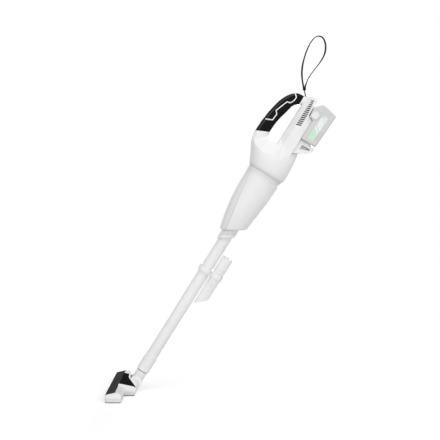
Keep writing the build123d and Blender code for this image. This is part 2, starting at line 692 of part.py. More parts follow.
def make_grips(full, core):
    skin = ((full - core) & grip_zone()) - panel_pocket(0) - switch_room()
    band = extrude(make_face(trim_line(TRIM_W)), HANDLE_HALF + 1, both=True)
    band = band - block(-FAR, FAR, -6, 6, -FAR, FAR)
    trim = skin & band
    skin = skin - band
    parts["grip_left"] = ROW * near_half(skin)
    parts["grip_right"] = ROW * far_half(skin)
    parts["grip_trim_left"] = ROW * near_half(trim)
    parts["grip_trim_right"] = ROW * far_half(trim)


def make_controls():
    place = ROW * panel_place()
    half = PANEL_LENGTH / 2
    panel = block(-0.2, PANEL_DEPTH, -PANEL_HALF, PANEL_HALF, -half, half)
    panel = fillet(panel.edges().filter_by(Axis.X), 3.0)
    deck = PANEL_DEPTH + 3.4
    for name, z in button_places().items():
        panel = panel - button_form(z, RUN, -1, PANEL_DEPTH + 1)
        parts[name] = place * button_form(z, 0, -0.2 - BUTTON_PROUD, PANEL_DEPTH + 0.6)
    clear = BUTTON_END + 0.8
    for z0, z1 in ((-BOARD_HALF, -clear), (0.8 - BUTTON_GAP / 2, BUTTON_GAP / 2 - 0.8), (clear, BOARD_HALF)):
        panel = panel + block(PANEL_DEPTH - 0.5, deck, -BUTTON_HALF + 1, BUTTON_HALF - 1, z0, z1)
    parts["control_panel"] = place * panel
    board = block(deck, deck + BOARD_T, -BUTTON_HALF, BUTTON_HALF, -BOARD_HALF, BOARD_HALF)
    for z in button_places().values():
        board = board + block(PANEL_DEPTH + 0.6 + BUTTON_TRAVEL + 0.2, deck, -3, 3, z - 3, z + 3)
    parts["switch_board"] = place * board


# Casing
def barrel_form(inset):
    stations = [
        (CASING_Z, -49.4, 46.4, 47.7), (8, -54.6, 50.6, 51.6), (32, -66.5, 52.0, 53.0),
        (55, -78.5, 50.5, 49.0), (76, -83.0, 48.0, 38.0), (105, -80.0, 44.0, 14.0),
    ]
    faces = []
    for z, left, right, half in stations:
        faces.append(Pos((left + right) / 2, 0, z) * Ellipse((right - left) / 2 - inset, half - inset))
    form = loft(faces)
    for area, point, normal in FACETS:
        cut = beyond([p - inset * n for p, n in zip(point, normal)], normal)
        if inset == 0:
            cut = cut & slab(area, FAR)
        form = form - both_sides(cut)
    return form


def hand_gap(grow):
    g = grow
    return slab([
        (-51 - g, 118), (-51 - g, 104), (-48 - g, 87 - g), (-42 - g / 2, 80 - g), (-38, 80 - g),
        (-17 + g, 89 - g), (-17 + g, 118),
    ], 60)


def spine_profile(inset):
    i = inset
    return slab([
        (SPINE_GAP_X + i, 60), (SPINE_GAP_X + i, 232 - i), (-10, 237 - i), (0, 241 - i), (8.5 - i, 241 - i),
        (12.4 - i, 237.5 - i), (13 - i, STEP_Z + 9), (CHANNEL_X - 0.1 - i, STEP_Z + 5.2),
        (SPINE_FACE_X - i, STEP_Z - i), (SPINE_FACE_X - i, 60),
    ], 60)


def spine_form(inset):
    i = inset
    corners = [
        (SPINE_GAP_X + i, 13 - i / 2), (SPINE_EDGE_X + i / 2, SPINE_HALF - i),
        (SPINE_FACE_X, SPINE_FACE_HALF - i),
    ]
    section = make_face(Polyline(*corners, *[(x, -y) for x, y in reversed(corners)], close=True))
    column = extrude(Pos(0, 0, 60) * section, 200)
    if inset == 0:
        column = fillet(column.edges().filter_by(Axis.Z).group_by(Axis.X)[0], 4.0)
    return column & spine_profile(inset)


def guard_form():
    top = GUARD_TOP
    guard = [
        (22, top - 48), (46, top - 33), (71, top - 17.5), (73.6, top - 9), (72, top - 3.6),
        (63, top - 2.6), (58, top), (22, top),
    ]
    pocket = [
        (39.5, top - 20.5), (40.5, top - 10.8), (63, top - 10), (63.5, top - 14.5), (41, top - 22.5),
    ]
    pocket = slab(pocket, GUARD_HALF + 1) - slab(pocket, GUARD_WEB / 2)
    return slab(guard, GUARD_HALF) - fillet(pocket.edges().filter_by(Axis.Y), 1.2)


def casing_screw_places():
    return [(-68, 62), (38, 58), (24, 112), (-7, 222)]


def vent_slots():
    slots = None
    for i in range(VENTS):
        z = VENT_START + i * VENT_PITCH
        length = 13.5 - 5.7 * (i / (VENTS - 1)) ** 2
        slot = block(0, length, SPINE_HALF - 6, SPINE_FACE_HALF + 5, -VENT_H / 2, VENT_H / 2)
        slot = Pos(SPINE_EDGE_X + 0.5, 0, z) * Rot(0, -VENT_TURN, 0) * slot
        slots = both_sides(slot) if slots is None else slots + both_sides(slot)
    return slots


def board_posts():
    posts = None
    for z in (104, 146):
        post = Pos(0, 12, z) * Rot(0, 90, 0) * cyl(2.5, 5.6, CHANNEL_X)
        posts = both_sides(post) if posts is None else posts + both_sides(post)
    return posts


def make_casing(full, core, hollow):
    zone = grip_zone()
    skin = (full - core) & zone
    handle = (full - zone) + (core & zone)
    lug = cross(LUG_R, LUG_X, LUG_Z, -LUG_HALF, LUG_HALF)
    outer = barrel_form(0) - hand_gap(0) + handle + spine_form(0) + guard_form() + lug
    rib = cyl(CAN_R + 9, RIB_Z, RIB_Z + RIB_T, MOTOR_X) - cyl(CAN_R - 12, 0, FAR, MOTOR_X)
    inner = barrel_form(WALL) - hand_gap(WALL) - block(-FAR, FAR, -FAR, FAR, -FAR, CASING_Z + FLOOR_T)
    chamber = spine_form(WALL) & block(-FAR, CHANNEL_X - WALL, -FAR, FAR, 60, 300)
    casing = outer - (inner - rib) - chamber - hollow - cyl(30, -5, 20, MOTOR_X)
    casing = casing - block(CHANNEL_X, FAR, -TONGUE_HALF - SEAT_GAP, TONGUE_HALF + SEAT_GAP, GUARD_TOP, 300)
    casing = casing - block(PACK_FACE_X - RUN, FAR, -PACK_HALF - 5, PACK_HALF + 5, GUARD_TOP, 300)
    rail_x = SPINE_FACE_X - GROOVE_OFF
    rail_y = TONGUE_HALF - GROOVE_D + SEAT_GAP
    rail = block(rail_x - GROOVE_D + SEAT_GAP, rail_x - SEAT_GAP, rail_y, SPINE_HALF, RAIL_START, RAIL_END)
    casing = casing + both_sides(rail) + board_posts() - vent_slots() - panel_pocket(0) - switch_room()
    screws = None
    for x, z in casing_screw_places():
        casing = casing + (cross(SCREW_HEAD_R + BOSS_WALL, x, z, -60, 60) & outer)
        casing = casing - cross(SCREW_HEAD_R + 0.2, x, z, 8, 60) - cross(SCREW_R, x, z, 7 - SCREW_LENGTH, 9)
        screw = cross(SCREW_HEAD_R, x, z, 8, 8 + SCREW_HEAD_H) + cross(SCREW_R, x, z, 8 - SCREW_LENGTH, 8.5)
        screws = screw if screws is None else screws + screw
    casing = casing - cross(LUG_HOLE_R, LUG_X, LUG_Z, -10, 10) - skin
    parts["casing_left"] = ROW * near_half(casing)
    parts["casing_right"] = ROW * far_half(casing)
    parts["casing_screws"] = ROW * screws


def make_electronics():
    parts["control_board"] = ROW * block(5.6 - BOARD_T, 5.6, -18, 18, 98, 152)
    top = VENT_START + VENTS * VENT_PITCH
    right = CHANNEL_X - WALL - RUN
    foam = [
        (-0.9, VENT_START - 3), (right, VENT_START - 3), (right, STEP_Z + 2), (8.2, STEP_Z + 7),
        (8.2, top), (-0.9, top),
    ]
    outer = SPINE_HALF - WALL - RUN
    parts["exhaust_foam"] = ROW * (slab(foam, outer) - slab(foam, outer - 5.2))
    base = block(CHANNEL_X, SPINE_FACE_X - 1, -TONGUE_HALF + 3, TONGUE_HALF - 3, GUARD_TOP, TONGUE_START - 2)
    blade_z = TONGUE_START - 8
    blade_end = blade_z + BLADE_LENGTH + 6
    blades = None
    for i in range(4):
        y = (i - 1.5) * BLADE_PITCH
        blade = block(CHANNEL_X + 3, SPINE_FACE_X - 3, y - BLADE_T / 2, y + BLADE_T / 2, blade_z, blade_end)
        base = base - blade
        blades = blade if blades is None else blades + blade
    parts["terminal_block"] = ROW * base
    parts["terminal_blades"] = ROW * blades


# Battery pack
def pack_outline(inset):
    i = inset
    return [
        (PACK_FACE_X + i, PACK_FOOT + i), (PACK_FACE_X + i, PACK_STEP_Z + i), (15.8 + i, PACK_STEP_Z + 5 + i),
        (13.5 + i, PACK_TOP - 17.3 - i / 2), (29.5, PACK_TOP - 1.5 - i), (36.5, PACK_TOP - i),
        (PACK_BACK_X - 2.3 - i, PACK_TOP - 7.8 - i), (PACK_BACK_X - i, PACK_TOP - 11.3),
        (PACK_BACK_X - 3.5 - i, PACK_FOOT + 5), (PACK_BACK_X - 6.8 - i, PACK_FOOT + i),
    ]


def latch_form(room, y0, y1):
    grow = 1 + room / LATCH_HALF
    corners = [(LATCH_X + grow * x, LATCH_Z + grow * z) for x, z in LATCH_SHAPE]
    form = slab(corners, FAR) & block(-FAR, FAR, y0, y1, -FAR, FAR)
    return fillet(form.edges().filter_by(Axis.Y), 3.5)


def make_pack():
    form = slab(pack_outline(0), PACK_HALF)
    sides = form.edges().filter_by(lambda e: abs(abs(e.center().Y) - PACK_HALF) < 0.01)
    sides = sides.filter_by(lambda e: e.center().X > PACK_SPLIT_X or e.center().Z > PACK_TOP - 15)
    form = chamfer(sides, PACK_EDGE)
    form = form - slab(pack_outline(PACK_WALL), PACK_HALF - PACK_WALL)
    latch_inner = PACK_HALF - LATCH_T
    pocket_floor = latch_inner - LATCH_TRAVEL - RUN
    pocket_wall = latch_form(2.0, pocket_floor - 1.5, PACK_HALF - 0.5) & slab(pack_outline(0), PACK_HALF)
    form = form + both_sides(pocket_wall) - both_sides(latch_form(RUN, pocket_floor, PACK_HALF + 2))
    tongue_x = SPINE_FACE_X - TONGUE_RISE
    tongue = block(tongue_x, PACK_FACE_X + 1, -TONGUE_HALF, TONGUE_HALF, TONGUE_START, TONGUE_END)
    groove_x = SPINE_FACE_X - GROOVE_OFF
    groove_y = TONGUE_HALF - GROOVE_D
    groove = block(groove_x - GROOVE_D, groove_x, groove_y, TONGUE_HALF + 1, TONGUE_START - 1, RAIL_END + 4)
    tongue = tongue - both_sides(groove)
    for i in range(4):
        y = (i - 1.5) * BLADE_PITCH
        slot_end = TONGUE_START + BLADE_LENGTH
        tongue = tongue - block(CHANNEL_X - 1, SPINE_FACE_X - 1, y - 1.4, y + 1.4, TONGUE_START - 1, slot_end)
    form = form + tongue
    label_face = [(41, 141), (43, 203), (49.5, 213.5), (61, 212), (57.5, 139)]
    under = PACK_HALF - LABEL_T
    tab = slab(label_face, PACK_HALF) - block(-FAR, FAR, -under, under, -FAR, FAR)
    form = form - tab
    top = form & block(-FAR, PACK_SPLIT_X, -FAR, FAR, -FAR, FAR)
    base = form & block(PACK_SPLIT_X, FAR, -FAR, FAR, -FAR, FAR)
    parts["pack_top"] = ROW * top
    parts["pack_base"] = ROW * base
    parts["pack_labels"] = ROW * tab
    parts["pack_latch_left"] = ROW * latch_form(0, -PACK_HALF - LATCH_PROUD, -latch_inner)
    parts["pack_latch_right"] = ROW * latch_form(0, latch_inner, PACK_HALF + LATCH_PROUD)
    make_cells()


def make_cells():
    x = PACK_BACK_X - PACK_WALL - 7 - CELL_R
    pitch = 2 * CELL_R + CELL_GAP
    first = (PACK_FOOT + PACK_TOP) / 2 - 2.5 - pitch * (CELLS - 1) / 2
    outer_y = CELL_LENGTH / 2 - 4
    frame = block(x - CELL_R - 2, PACK_BACK_X, outer_y - 4, outer_y, PACK_FOOT, PACK_TOP)
    frames = both_sides(frame) & slab(pack_outline(PACK_WALL), PACK_HALF)
    cells = None
    for i in range(CELLS):
        cell = cross(CELL_R, x, first + i * pitch, -CELL_LENGTH / 2, CELL_LENGTH / 2)
        frames = frames - cell
        cells = cell if cells is None else cells + cell
    parts["pack_cells"] = ROW * cells
    parts["cell_frames"] = ROW * frames


# Wrist strap
def corner_radii(points):
    radii = []
    for a, b, c in zip(points, points[1:], points[2:]):
        before, after = math.dist(a, b), math.dist(b, c)
        turn = math.atan2(c[1] - b[1], c[0] - b[0]) - math.atan2(b[1] - a[1], b[0] - a[0])
        turn = abs((turn + math.pi) % (2 * math.pi) - math.pi)
        radii.append(0.45 * min(before, after) / math.tan(turn / 2))
    return radii


def report_tube(name, path, shape, diameter):
    full = math.pi * diameter**2 / 4 * path.length
    print(name, "length", round(path.length, 1), "volume share", round(shape.volume / full, 3))


def make_strap():
    radii = corner_radii(STRAP_ROUTE)
    print("strap_loop radii", [round(r, 1) for r in radii])
    path = Plane.XZ * FilletPolyline(*STRAP_ROUTE, radius=radii)
    path = path.wire()
    loop = tube_along(path, STRAP_D / 2) - block(-FAR, FAR, -FAR, FAR, -FAR, CRIMP_Z + CRIMP_H)
    report_tube("strap_loop", path, loop, STRAP_D)
    parts["strap_loop"] = loop
    crimp_end = CRIMP_Z + CRIMP_H
    crimp = Pos(CRIMP_X, 0, (CRIMP_Z + crimp_end) / 2) * Box(2 * CRIMP_HALF_X, 2 * CRIMP_HALF_Y, CRIMP_H)
    parts["strap_crimp"] = fillet(crimp.edges().filter_by(Axis.Z), 1.2)

    eye = (ROW * Pos(LUG_X, 0, LUG_Z)).position
    along = Vector(CRIMP_X, 0, CRIMP_Z) - eye
    rise = 0.6
    plane = Plane(origin=eye, x_dir=(0, 1, 0), z_dir=Vector(0, 1, 0).cross(along))
    route = [(-1.6, along.length), (-4.4, rise), (4.4, rise), (1.6, along.length)]
    tail_path = (plane * FilletPolyline(*route, radius=corner_radii(route))).wire()
    tail = tube_along(tail_path, TAIL_D / 2) - block(-FAR, FAR, -FAR, FAR, CRIMP_Z, FAR)
    report_tube("strap_tail", tail_path, tail, TAIL_D)
    parts["strap_tail"] = tail


def build():
    make_tube()
    make_neck()
    make_knuckle()
    make_head()
    make_holder()
    make_crevice()
    make_capsule()
    make_filter()
    make_motor()
    full, core, hollow = make_handle()
    make_grips(full, core)
    make_controls()
    make_casing(full, core, hollow)
    make_electronics()
    make_pack()
    make_strap()
    os.makedirs("parts", exist_ok=True)
    for name, shape in parts.items():
        export_step(shape, f"parts/{name}.step")


build()
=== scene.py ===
import json
import math

import bmesh
import bpy
from mathutils import Matrix, Vector


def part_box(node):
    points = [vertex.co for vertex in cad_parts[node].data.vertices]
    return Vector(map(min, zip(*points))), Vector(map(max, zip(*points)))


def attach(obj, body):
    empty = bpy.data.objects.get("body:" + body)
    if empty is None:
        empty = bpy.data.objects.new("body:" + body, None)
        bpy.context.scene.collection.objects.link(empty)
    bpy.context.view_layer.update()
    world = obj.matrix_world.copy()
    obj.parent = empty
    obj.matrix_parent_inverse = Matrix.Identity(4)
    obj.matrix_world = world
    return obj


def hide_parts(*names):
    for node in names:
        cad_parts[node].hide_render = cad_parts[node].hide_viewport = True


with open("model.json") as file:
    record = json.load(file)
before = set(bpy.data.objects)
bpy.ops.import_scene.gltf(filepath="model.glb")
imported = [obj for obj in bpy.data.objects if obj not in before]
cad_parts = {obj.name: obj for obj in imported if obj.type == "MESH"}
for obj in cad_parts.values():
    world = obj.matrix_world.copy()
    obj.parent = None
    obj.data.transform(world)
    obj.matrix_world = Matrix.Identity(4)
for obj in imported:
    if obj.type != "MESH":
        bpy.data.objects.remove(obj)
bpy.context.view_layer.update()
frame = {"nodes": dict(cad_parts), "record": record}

# Cordless stick vacuum, leaning on its floor head. Metres, in the model's own frame.
nodes = frame["nodes"]
scene = bpy.context.scene
scene.view_settings.view_transform = "Standard"

STICK_TILT = math.radians(32.0)
GRIP_CENTRE = Vector((-0.066, 0.0, 0.155))
STICK = Matrix.Rotation(STICK_TILT, 4, "Y") @ Matrix.Translation(-GRIP_CENTRE)
FLOOR_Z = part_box("sole_plate")[0][2]
HEAD_PIVOT_MM = -661


def stick(x, y, z):
    """A point given in millimetres along the stick's own axes."""
    return STICK @ Vector((x / 1000, y / 1000, z / 1000))


PIVOT_X = stick(0, 0, HEAD_PIVOT_MM).x


def on_floor(x, y, z):
    """A point of the floor head, in millimetres from the floor under its pivot."""
    return Vector((PIVOT_X + x / 1000, y / 1000, FLOOR_Z + z / 1000))


# Camera, backdrop and light
CAMERA_PLACE = (-0.1478, -2.045, -0.1639)
CAMERA_DIP = 3.48
LENS_MM = 61.9
SENSOR_MM = 36.0

PLAIN_WHITE = (1.0, 1.0, 1.0, 1.0)
BRIGHT_SIDE = (0.14, -0.96, 0.2)
ROOM_TURN = (-0.15, 0.5)
ROOM_LEVELS = (0.02, 1.36)

FLOOR_REACH = 14.0
FLOOR_DROP = 0.0004
FLOOR_WHITE = (0.85, 0.85, 0.85, 1.0)
FLOOR_LIFT = (0.37, 0.37, 0.37, 1.0)
FLOOR_MIDDLE = (-0.1, 0.15, FLOOR_Z)
FLOOR_FADE = (0.6, 1.3)

# Each lamp's name, place, aim, power and the side of its square
LAMPS = [
    ("key_front_top", (0.25, -1.35, 2.0), (-0.05, 0.0, -0.3), 3.5, 1.3),
    ("side_fill", (1.7, -1.6, 0.2), (0.0, 0.0, -0.25), 1.0, 1.5),
    ("back_fill", (0.1, 3.4, -0.35), (-0.1, 0.0, -0.25), 70.0, 0.5),
]


def place_camera():
    data = bpy.data.cameras.new("photo_camera")
    data.sensor_width = SENSOR_MM
    data.lens = LENS_MM
    camera = bpy.data.objects.new("photo_camera", data)
    camera.location = CAMERA_PLACE
    camera.rotation_euler = (math.radians(90 - CAMERA_DIP), 0, 0)
    scene.collection.objects.link(camera)
    scene.camera = camera


def seen_directly(tree):
    """1 for rays that show the backdrop itself: straight from the camera, mirrored
    or through something clear."""
    paths = tree.nodes.new("ShaderNodeLightPath")
    seen = paths.outputs["Is Camera Ray"]
    for kind in ("Is Glossy Ray", "Is Transmission Ray"):
        either = tree.nodes.new("ShaderNodeMath")
        either.operation = "MAXIMUM"
        tree.links.new(seen, either.inputs[0])
        tree.links.new(paths.outputs[kind], either.inputs[1])
        seen = either.outputs[0]
    return seen


def white_surroundings():
    """Brighter from the front and above than from behind, so that edges turn slightly grey.
    Plain white where the surroundings are seen."""
    world = bpy.data.worlds.new("white_room")
    world.use_nodes = True
    scene.world = world
    tree = world.node_tree
    tree.nodes.clear()
    direction = tree.nodes.new("ShaderNodeTexCoord").outputs["Generated"]
    facing = tree.nodes.new("ShaderNodeVectorMath")
    facing.operation = "DOT_PRODUCT"
    facing.inputs[1].default_value = BRIGHT_SIDE
    tree.links.new(direction, facing.inputs[0])
    level = tree.nodes.new("ShaderNodeMapRange")
    level.inputs["From Min"].default_value, level.inputs["From Max"].default_value = ROOM_TURN
    level.inputs["To Min"].default_value, level.inputs["To Max"].default_value = ROOM_LEVELS
    tree.links.new(facing.outputs["Value"], level.inputs["Value"])
    fill = tree.nodes.new("ShaderNodeBackground")
    fill.inputs["Color"].default_value = PLAIN_WHITE
    tree.links.new(level.outputs["Result"], fill.inputs["Strength"])
    backdrop = tree.nodes.new("ShaderNodeBackground")
    backdrop.inputs["Color"].default_value = PLAIN_WHITE
    mix = tree.nodes.new("ShaderNodeMixShader")
    out = tree.nodes.new("ShaderNodeOutputWorld")
    tree.links.new(seen_directly(tree), mix.inputs["Fac"])
    tree.links.new(fill.outputs[0], mix.inputs[1])
    tree.links.new(backdrop.outputs[0], mix.inputs[2])
    tree.links.new(mix.outputs[0], out.inputs["Surface"])


def floor_white():
    """Matt white near the object, plain white further off where it is seen."""
    material = bpy.data.materials.new("studio_floor_white")
    material.use_nodes = True
    tree = material.node_tree
    tree.nodes.clear()
    seen = seen_directly(tree)
    matt = tree.nodes.new("ShaderNodeBsdfDiffuse")
    matt.inputs["Color"].default_value = FLOOR_WHITE
    lift = tree.nodes.new("ShaderNodeEmission")
    lift.inputs["Color"].default_value = FLOOR_LIFT
    tree.links.new(seen, lift.inputs["Strength"])
    near = tree.nodes.new("ShaderNodeAddShader")
    tree.links.new(matt.outputs[0], near.inputs[0])
    tree.links.new(lift.outputs[0], near.inputs[1])
    far = tree.nodes.new("ShaderNodeEmission")
    tree.links.new(seen, far.inputs["Strength"])
    distance = tree.nodes.new("ShaderNodeVectorMath")
    distance.operation = "DISTANCE"
    distance.inputs[1].default_value = FLOOR_MIDDLE
    place = tree.nodes.new("ShaderNodeTexCoord").outputs["Object"]
    tree.links.new(place, distance.inputs[0])
    fade = tree.nodes.new("ShaderNodeMapRange")
    fade.inputs["From Min"].default_value, fade.inputs["From Max"].default_value = FLOOR_FADE
    tree.links.new(distance.outputs["Value"], fade.inputs["Value"])
    share = tree.nodes.new("ShaderNodeMath")
    share.operation = "MULTIPLY"
    tree.links.new(fade.outputs["Result"], share.inputs[0])
    tree.links.new(seen, share.inputs[1])
    blend = tree.nodes.new("ShaderNodeMixShader")
    tree.links.new(share.outputs[0], blend.inputs["Fac"])
    tree.links.new(near.outputs[0], blend.inputs[1])
    tree.links.new(far.outputs[0], blend.inputs[2])
    out = tree.nodes.new("ShaderNodeOutputMaterial")
    tree.links.new(blend.outputs[0], out.inputs["Surface"])
    return material


def pale_floor():
    """One large sheet of white paper, just under the sole."""
    mesh = bpy.data.meshes.new("studio_floor")
    corners = [(-1, -1), (1, -1), (1, 1), (-1, 1)]
    sheet = [(x * FLOOR_REACH, y * FLOOR_REACH, FLOOR_Z - FLOOR_DROP) for x, y in corners]
    mesh.from_pydata(sheet, [], [(0, 1, 2, 3)])
    mesh.materials.append(floor_white())
    floor = bpy.data.objects.new("studio_floor", mesh)
    scene.collection.objects.link(floor)


def soft_box(name, place, aim, power, side):
    data = bpy.data.lights.new(name, "AREA")
    data.shape = "SQUARE"
    data.size = side
    data.energy = power
    lamp = bpy.data.objects.new(name, data)
    lamp.location = place
    lamp.rotation_euler = (Vector(aim) - Vector(place)).to_track_quat("-Z", "Y").to_euler()
    scene.collection.objects.link(lamp)


place_camera()
white_surroundings()
pale_floor()
for lamp_settings in LAMPS:
    soft_box(*lamp_settings)


# Finishes
def put(tree, value, socket):
    """Links a node's output to a socket, or sets the socket to a plain value."""
    if isinstance(value, bpy.types.NodeSocket):
        tree.links.new(value, socket)
    else:
        socket.default_value = value


class Finish:
    """One material and short ways to add to it."""

    def __init__(self, name, colour, roughness):
        self.material = bpy.data.materials.new(name)
        self.material.use_nodes = True
        self.tree = self.material.node_tree
        self.shader = self.tree.nodes["Principled BSDF"]
        self.level("Base Color", (*colour, 1.0))
        self.level("Roughness", roughness)
        self.place = self.tree.nodes.new("ShaderNodeTexCoord").outputs["Object"]
        self.normal = None

    def add(self, kind, **inputs):
        node = self.tree.nodes.new(kind)
        for key, value in inputs.items():
            put(self.tree, value, node.inputs[key.replace("_", " ")])
        return node

    def math(self, operation, a, b=0.0):
        node = self.tree.nodes.new("ShaderNodeMath")
        node.operation = operation
        for socket, value in zip(node.inputs, (a, b)):
            put(self.tree, value, socket)
        return node.outputs[0]

    def times(self, a, b):
        return self.math("MULTIPLY", a, b)

    def noise(self, scale, detail=2.0, where=None):
        where = where or self.place
        node = self.add("ShaderNodeTexNoise", Vector=where, Scale=scale, Detail=detail)
        return node.outputs["Fac"]

    def pores(self, scale):
        node = self.add("ShaderNodeTexVoronoi", Vector=self.place, Scale=scale)
        return node.outputs["Distance"]

    def spread(self, value, low, high, from_low=0.3, from_high=0.7):
        """Stretches a value to a new range. The range it comes from suits a noise."""
        node = self.add("ShaderNodeMapRange", Value=value, From_Min=from_low, From_Max=from_high,
                        To_Min=low, To_Max=high)
        return node.outputs["Result"]

    def rise(self, value, start, end):
        return self.spread(value, 0.0, 1.0, start, end)

    def fall(self, value, start, end):
        return self.spread(value, 1.0, 0.0, start, end)

    def stripes(self, value, pitch):
        """Rises from 0 to 0.5 and falls again over each pitch."""
        return self.math("PINGPONG", self.times(value, 1.0 / pitch), 0.5)

    def mix(self, share, first, second):
        node = self.tree.nodes.new("ShaderNodeMix")
        node.data_type = "RGBA"
        put(self.tree, share, node.inputs[0])
        for socket, colour in ((node.inputs[6], first), (node.inputs[7], second)):
            put(self.tree, (*colour, 1.0) if isinstance(colour, tuple) else colour, socket)
        return node.outputs[2]

    def mottle(self, noise, first, second):
        return self.mix(self.spread(noise, 0.0, 1.0), first, second)

    def level(self, name, value):
        put(self.tree, value, self.shader.inputs[name])

    def colour(self, socket):
        self.level("Base Color", socket)

    def lay_over(self, share, colour):
        """Covers the colour that is there with another one."""
        under = self.shader.inputs["Base Color"].links[0].from_socket
        self.colour(self.mix(share, under, colour))

    def roughness(self, socket):
        self.level("Roughness", socket)

    def soft_edges(self, radius):
        node = self.add("ShaderNodeBevel", Radius=radius)
        node.samples = 4
        self.normal = node.outputs["Normal"]
        self.level("Normal", self.normal)

    def relief(self, height, strength, depth):
        node = self.add("ShaderNodeBump", Height=height, Strength=strength, Distance=depth)
        if self.normal is not None:
            self.tree.links.new(self.normal, node.inputs["Normal"])
        self.normal = node.outputs["Normal"]
        self.level("Normal", self.normal)

    def along_stick(self):
        """Coordinates in metres along the stick's own axes, for patterns that follow it."""
        turned = self.add("ShaderNodeMapping", Vector=self.place, Rotation=(0.0, -STICK_TILT, 0.0))
        shift = self.tree.nodes.new("ShaderNodeVectorMath")
        shift.operation = "ADD"
        self.tree.links.new(turned.outputs[0], shift.inputs[0])
        shift.inputs[1].default_value = GRIP_CENTRE
        return shift.outputs[0]

    def axes(self, where=None):
        return self.add("ShaderNodeSeparateXYZ", Vector=where or self.place).outputs

    def stick_axes(self):
        return self.axes(self.along_stick())

    def off_middle(self):
        """Distance from the middle plane."""
        return self.math("ABSOLUTE", self.axes()["Y"])

    def above_floor(self):
        return self.math("SUBTRACT", self.axes()["Z"], FLOOR_Z)

    def ribbon_axes(self):
        """Metres along and across a cord or ribbon."""
        return self.axes(self.tree.nodes.new("ShaderNodeUVMap").outputs["UV"])


def shade(colour, share):
    return tuple(min(1.0, c * share) for c in colour)


CORNER_REACH = 0.005


def moulded(name, colour, roughness, grain=2600.0, depth=0.00003, edge=0.0006,
            variation=0.03, gloss=0.07, corner_shade=0.74):
    """Injection-moulded plastic: faint cloudiness, painted shade darkening tight corners, a fine
    grain and slightly rounded edges."""
    f = Finish(name, colour, roughness)
    light, dark = shade(colour, 1 + variation / 2), shade(colour, 1 - variation)
    clean = f.mottle(f.noise(7.0, detail=3.0), dark, light)
    # Painted shade: ambient occlusion darkens the colour in tight corners, seams and contact lines.
    corner = f.add("ShaderNodeAmbientOcclusion", Distance=CORNER_REACH)
    corner.samples = 8
    f.colour(f.mix(f.fall(corner.outputs["AO"], 0.25, 0.8), clean, shade(colour, corner_shade)))
    f.roughness(f.spread(f.noise(38.0, detail=4.0), roughness - 0.05, roughness + 0.06))
    f.soft_edges(edge)
    f.relief(f.noise(grain, detail=1.0), strength=0.35, depth=depth)
    f.level("Specular IOR Level", gloss)
    return f


SPLIT_HALF = 0.00022


def split_line(f, colour):
    """The hairline where the two halves meet on the middle plane."""
    line = f.fall(f.off_middle(), SPLIT_HALF * 0.5, SPLIT_HALF * 1.6)
    f.lay_over(line, shade(colour, 0.45))
    f.relief(f.math("SUBTRACT", 1.0, line), strength=0.6, depth=0.0003)


CASING_WHITE = (0.84, 0.84, 0.838)
FITTING_WHITE = (0.835, 0.835, 0.832)
CAPSULE_WHITE = (0.83, 0.83, 0.828)
TUBE_WHITE = (0.83, 0.83, 0.828)
SOLE_GREY = (0.74, 0.74, 0.738)
FITTING_ROUGHNESS = 0.38

# How far the painted shade and shadow bands reach, in metres
SEAM_SHADE_REACH = 0.011
CUFF_FOOT = -0.628
NECK_SHADOW_FADE, NECK_SHADOW_FULL, NECK_SHADOW_EDGE = 0.0038, 0.0014, 0.0006
HEAD_SHADE_HEIGHTS = (0.011, 0.0145)
SOLE_SHADOW_HEIGHTS = (0.0026, 0.0038)
SOLE_SHADOW_WAVER = 0.0006
STEP_SHADE_SHIFT = 0.0005
STEP_SHADE_WIDTH = (0.0004, 0.0011)
STEP_SHADE_TOP = (-0.035, -0.09)

# The step down each side of the capsule: height and depth along the stick, in millimetres
CAPSULE_STEP = [
    (-14.0, -36.0), (-38.0, -34.0), (-80.0, -30.5),
    (-120.0, -24.0), (-155.0, -17.5), (-205.0, -9.5),
]


def casing_white():
    """White plastic with painted shade: darker just above the capsule's seam, where the casing turns
    inward and faces down.
    """
    f = moulded("casing_white", CASING_WHITE, 0.36)
    split_line(f, CASING_WHITE)
    # Painted shade: the colour darkens towards the seam, standing in for the shade under the casing's
    # inward curl.
    near_seam = f.fall(f.stick_axes()["Z"], 0.0, SEAM_SHADE_REACH)
    painted_shade = f.times(near_seam, f.spread(f.noise(30.0, detail=3.0), 0.75, 1.0))
    f.lay_over(painted_shade, shade(CASING_WHITE, 0.8))
    return f.material


def fitting_white():
    return moulded("fitting_white", FITTING_WHITE, FITTING_ROUGHNESS).material


def neck_white():
    """White plastic with a thin painted shadow ring just below the cuff, where the gap at its foot
    falls in shade.
    """
    f = moulded("neck_white", FITTING_WHITE, FITTING_ROUGHNESS)
    height = f.stick_axes()["Z"]
    # Painted shadow: a dark ring standing in for the shade in the gap under the cuff's foot.
    below = f.rise(height, CUFF_FOOT - NECK_SHADOW_FADE, CUFF_FOOT - NECK_SHADOW_FULL)
    cuff_shadow = f.times(below, f.fall(height, CUFF_FOOT, CUFF_FOOT + NECK_SHADOW_EDGE))
    f.lay_over(cuff_shadow, shade(FITTING_WHITE, 0.22))
    return f.material


def head_white():
    """White plastic with painted shade: greyer along its lower half."""
    f = moulded("head_white", FITTING_WHITE, FITTING_ROUGHNESS)
    # Painted shade: the colour darkens below a set height above the floor, as if the lower half were
    # in shade.
    low = f.fall(f.above_floor(), *HEAD_SHADE_HEIGHTS)
    painted_shade = f.times(low, f.spread(f.noise(30.0, detail=3.0), 0.8, 1.0))
    f.lay_over(painted_shade, shade(FITTING_WHITE, 0.82))
    return f.material


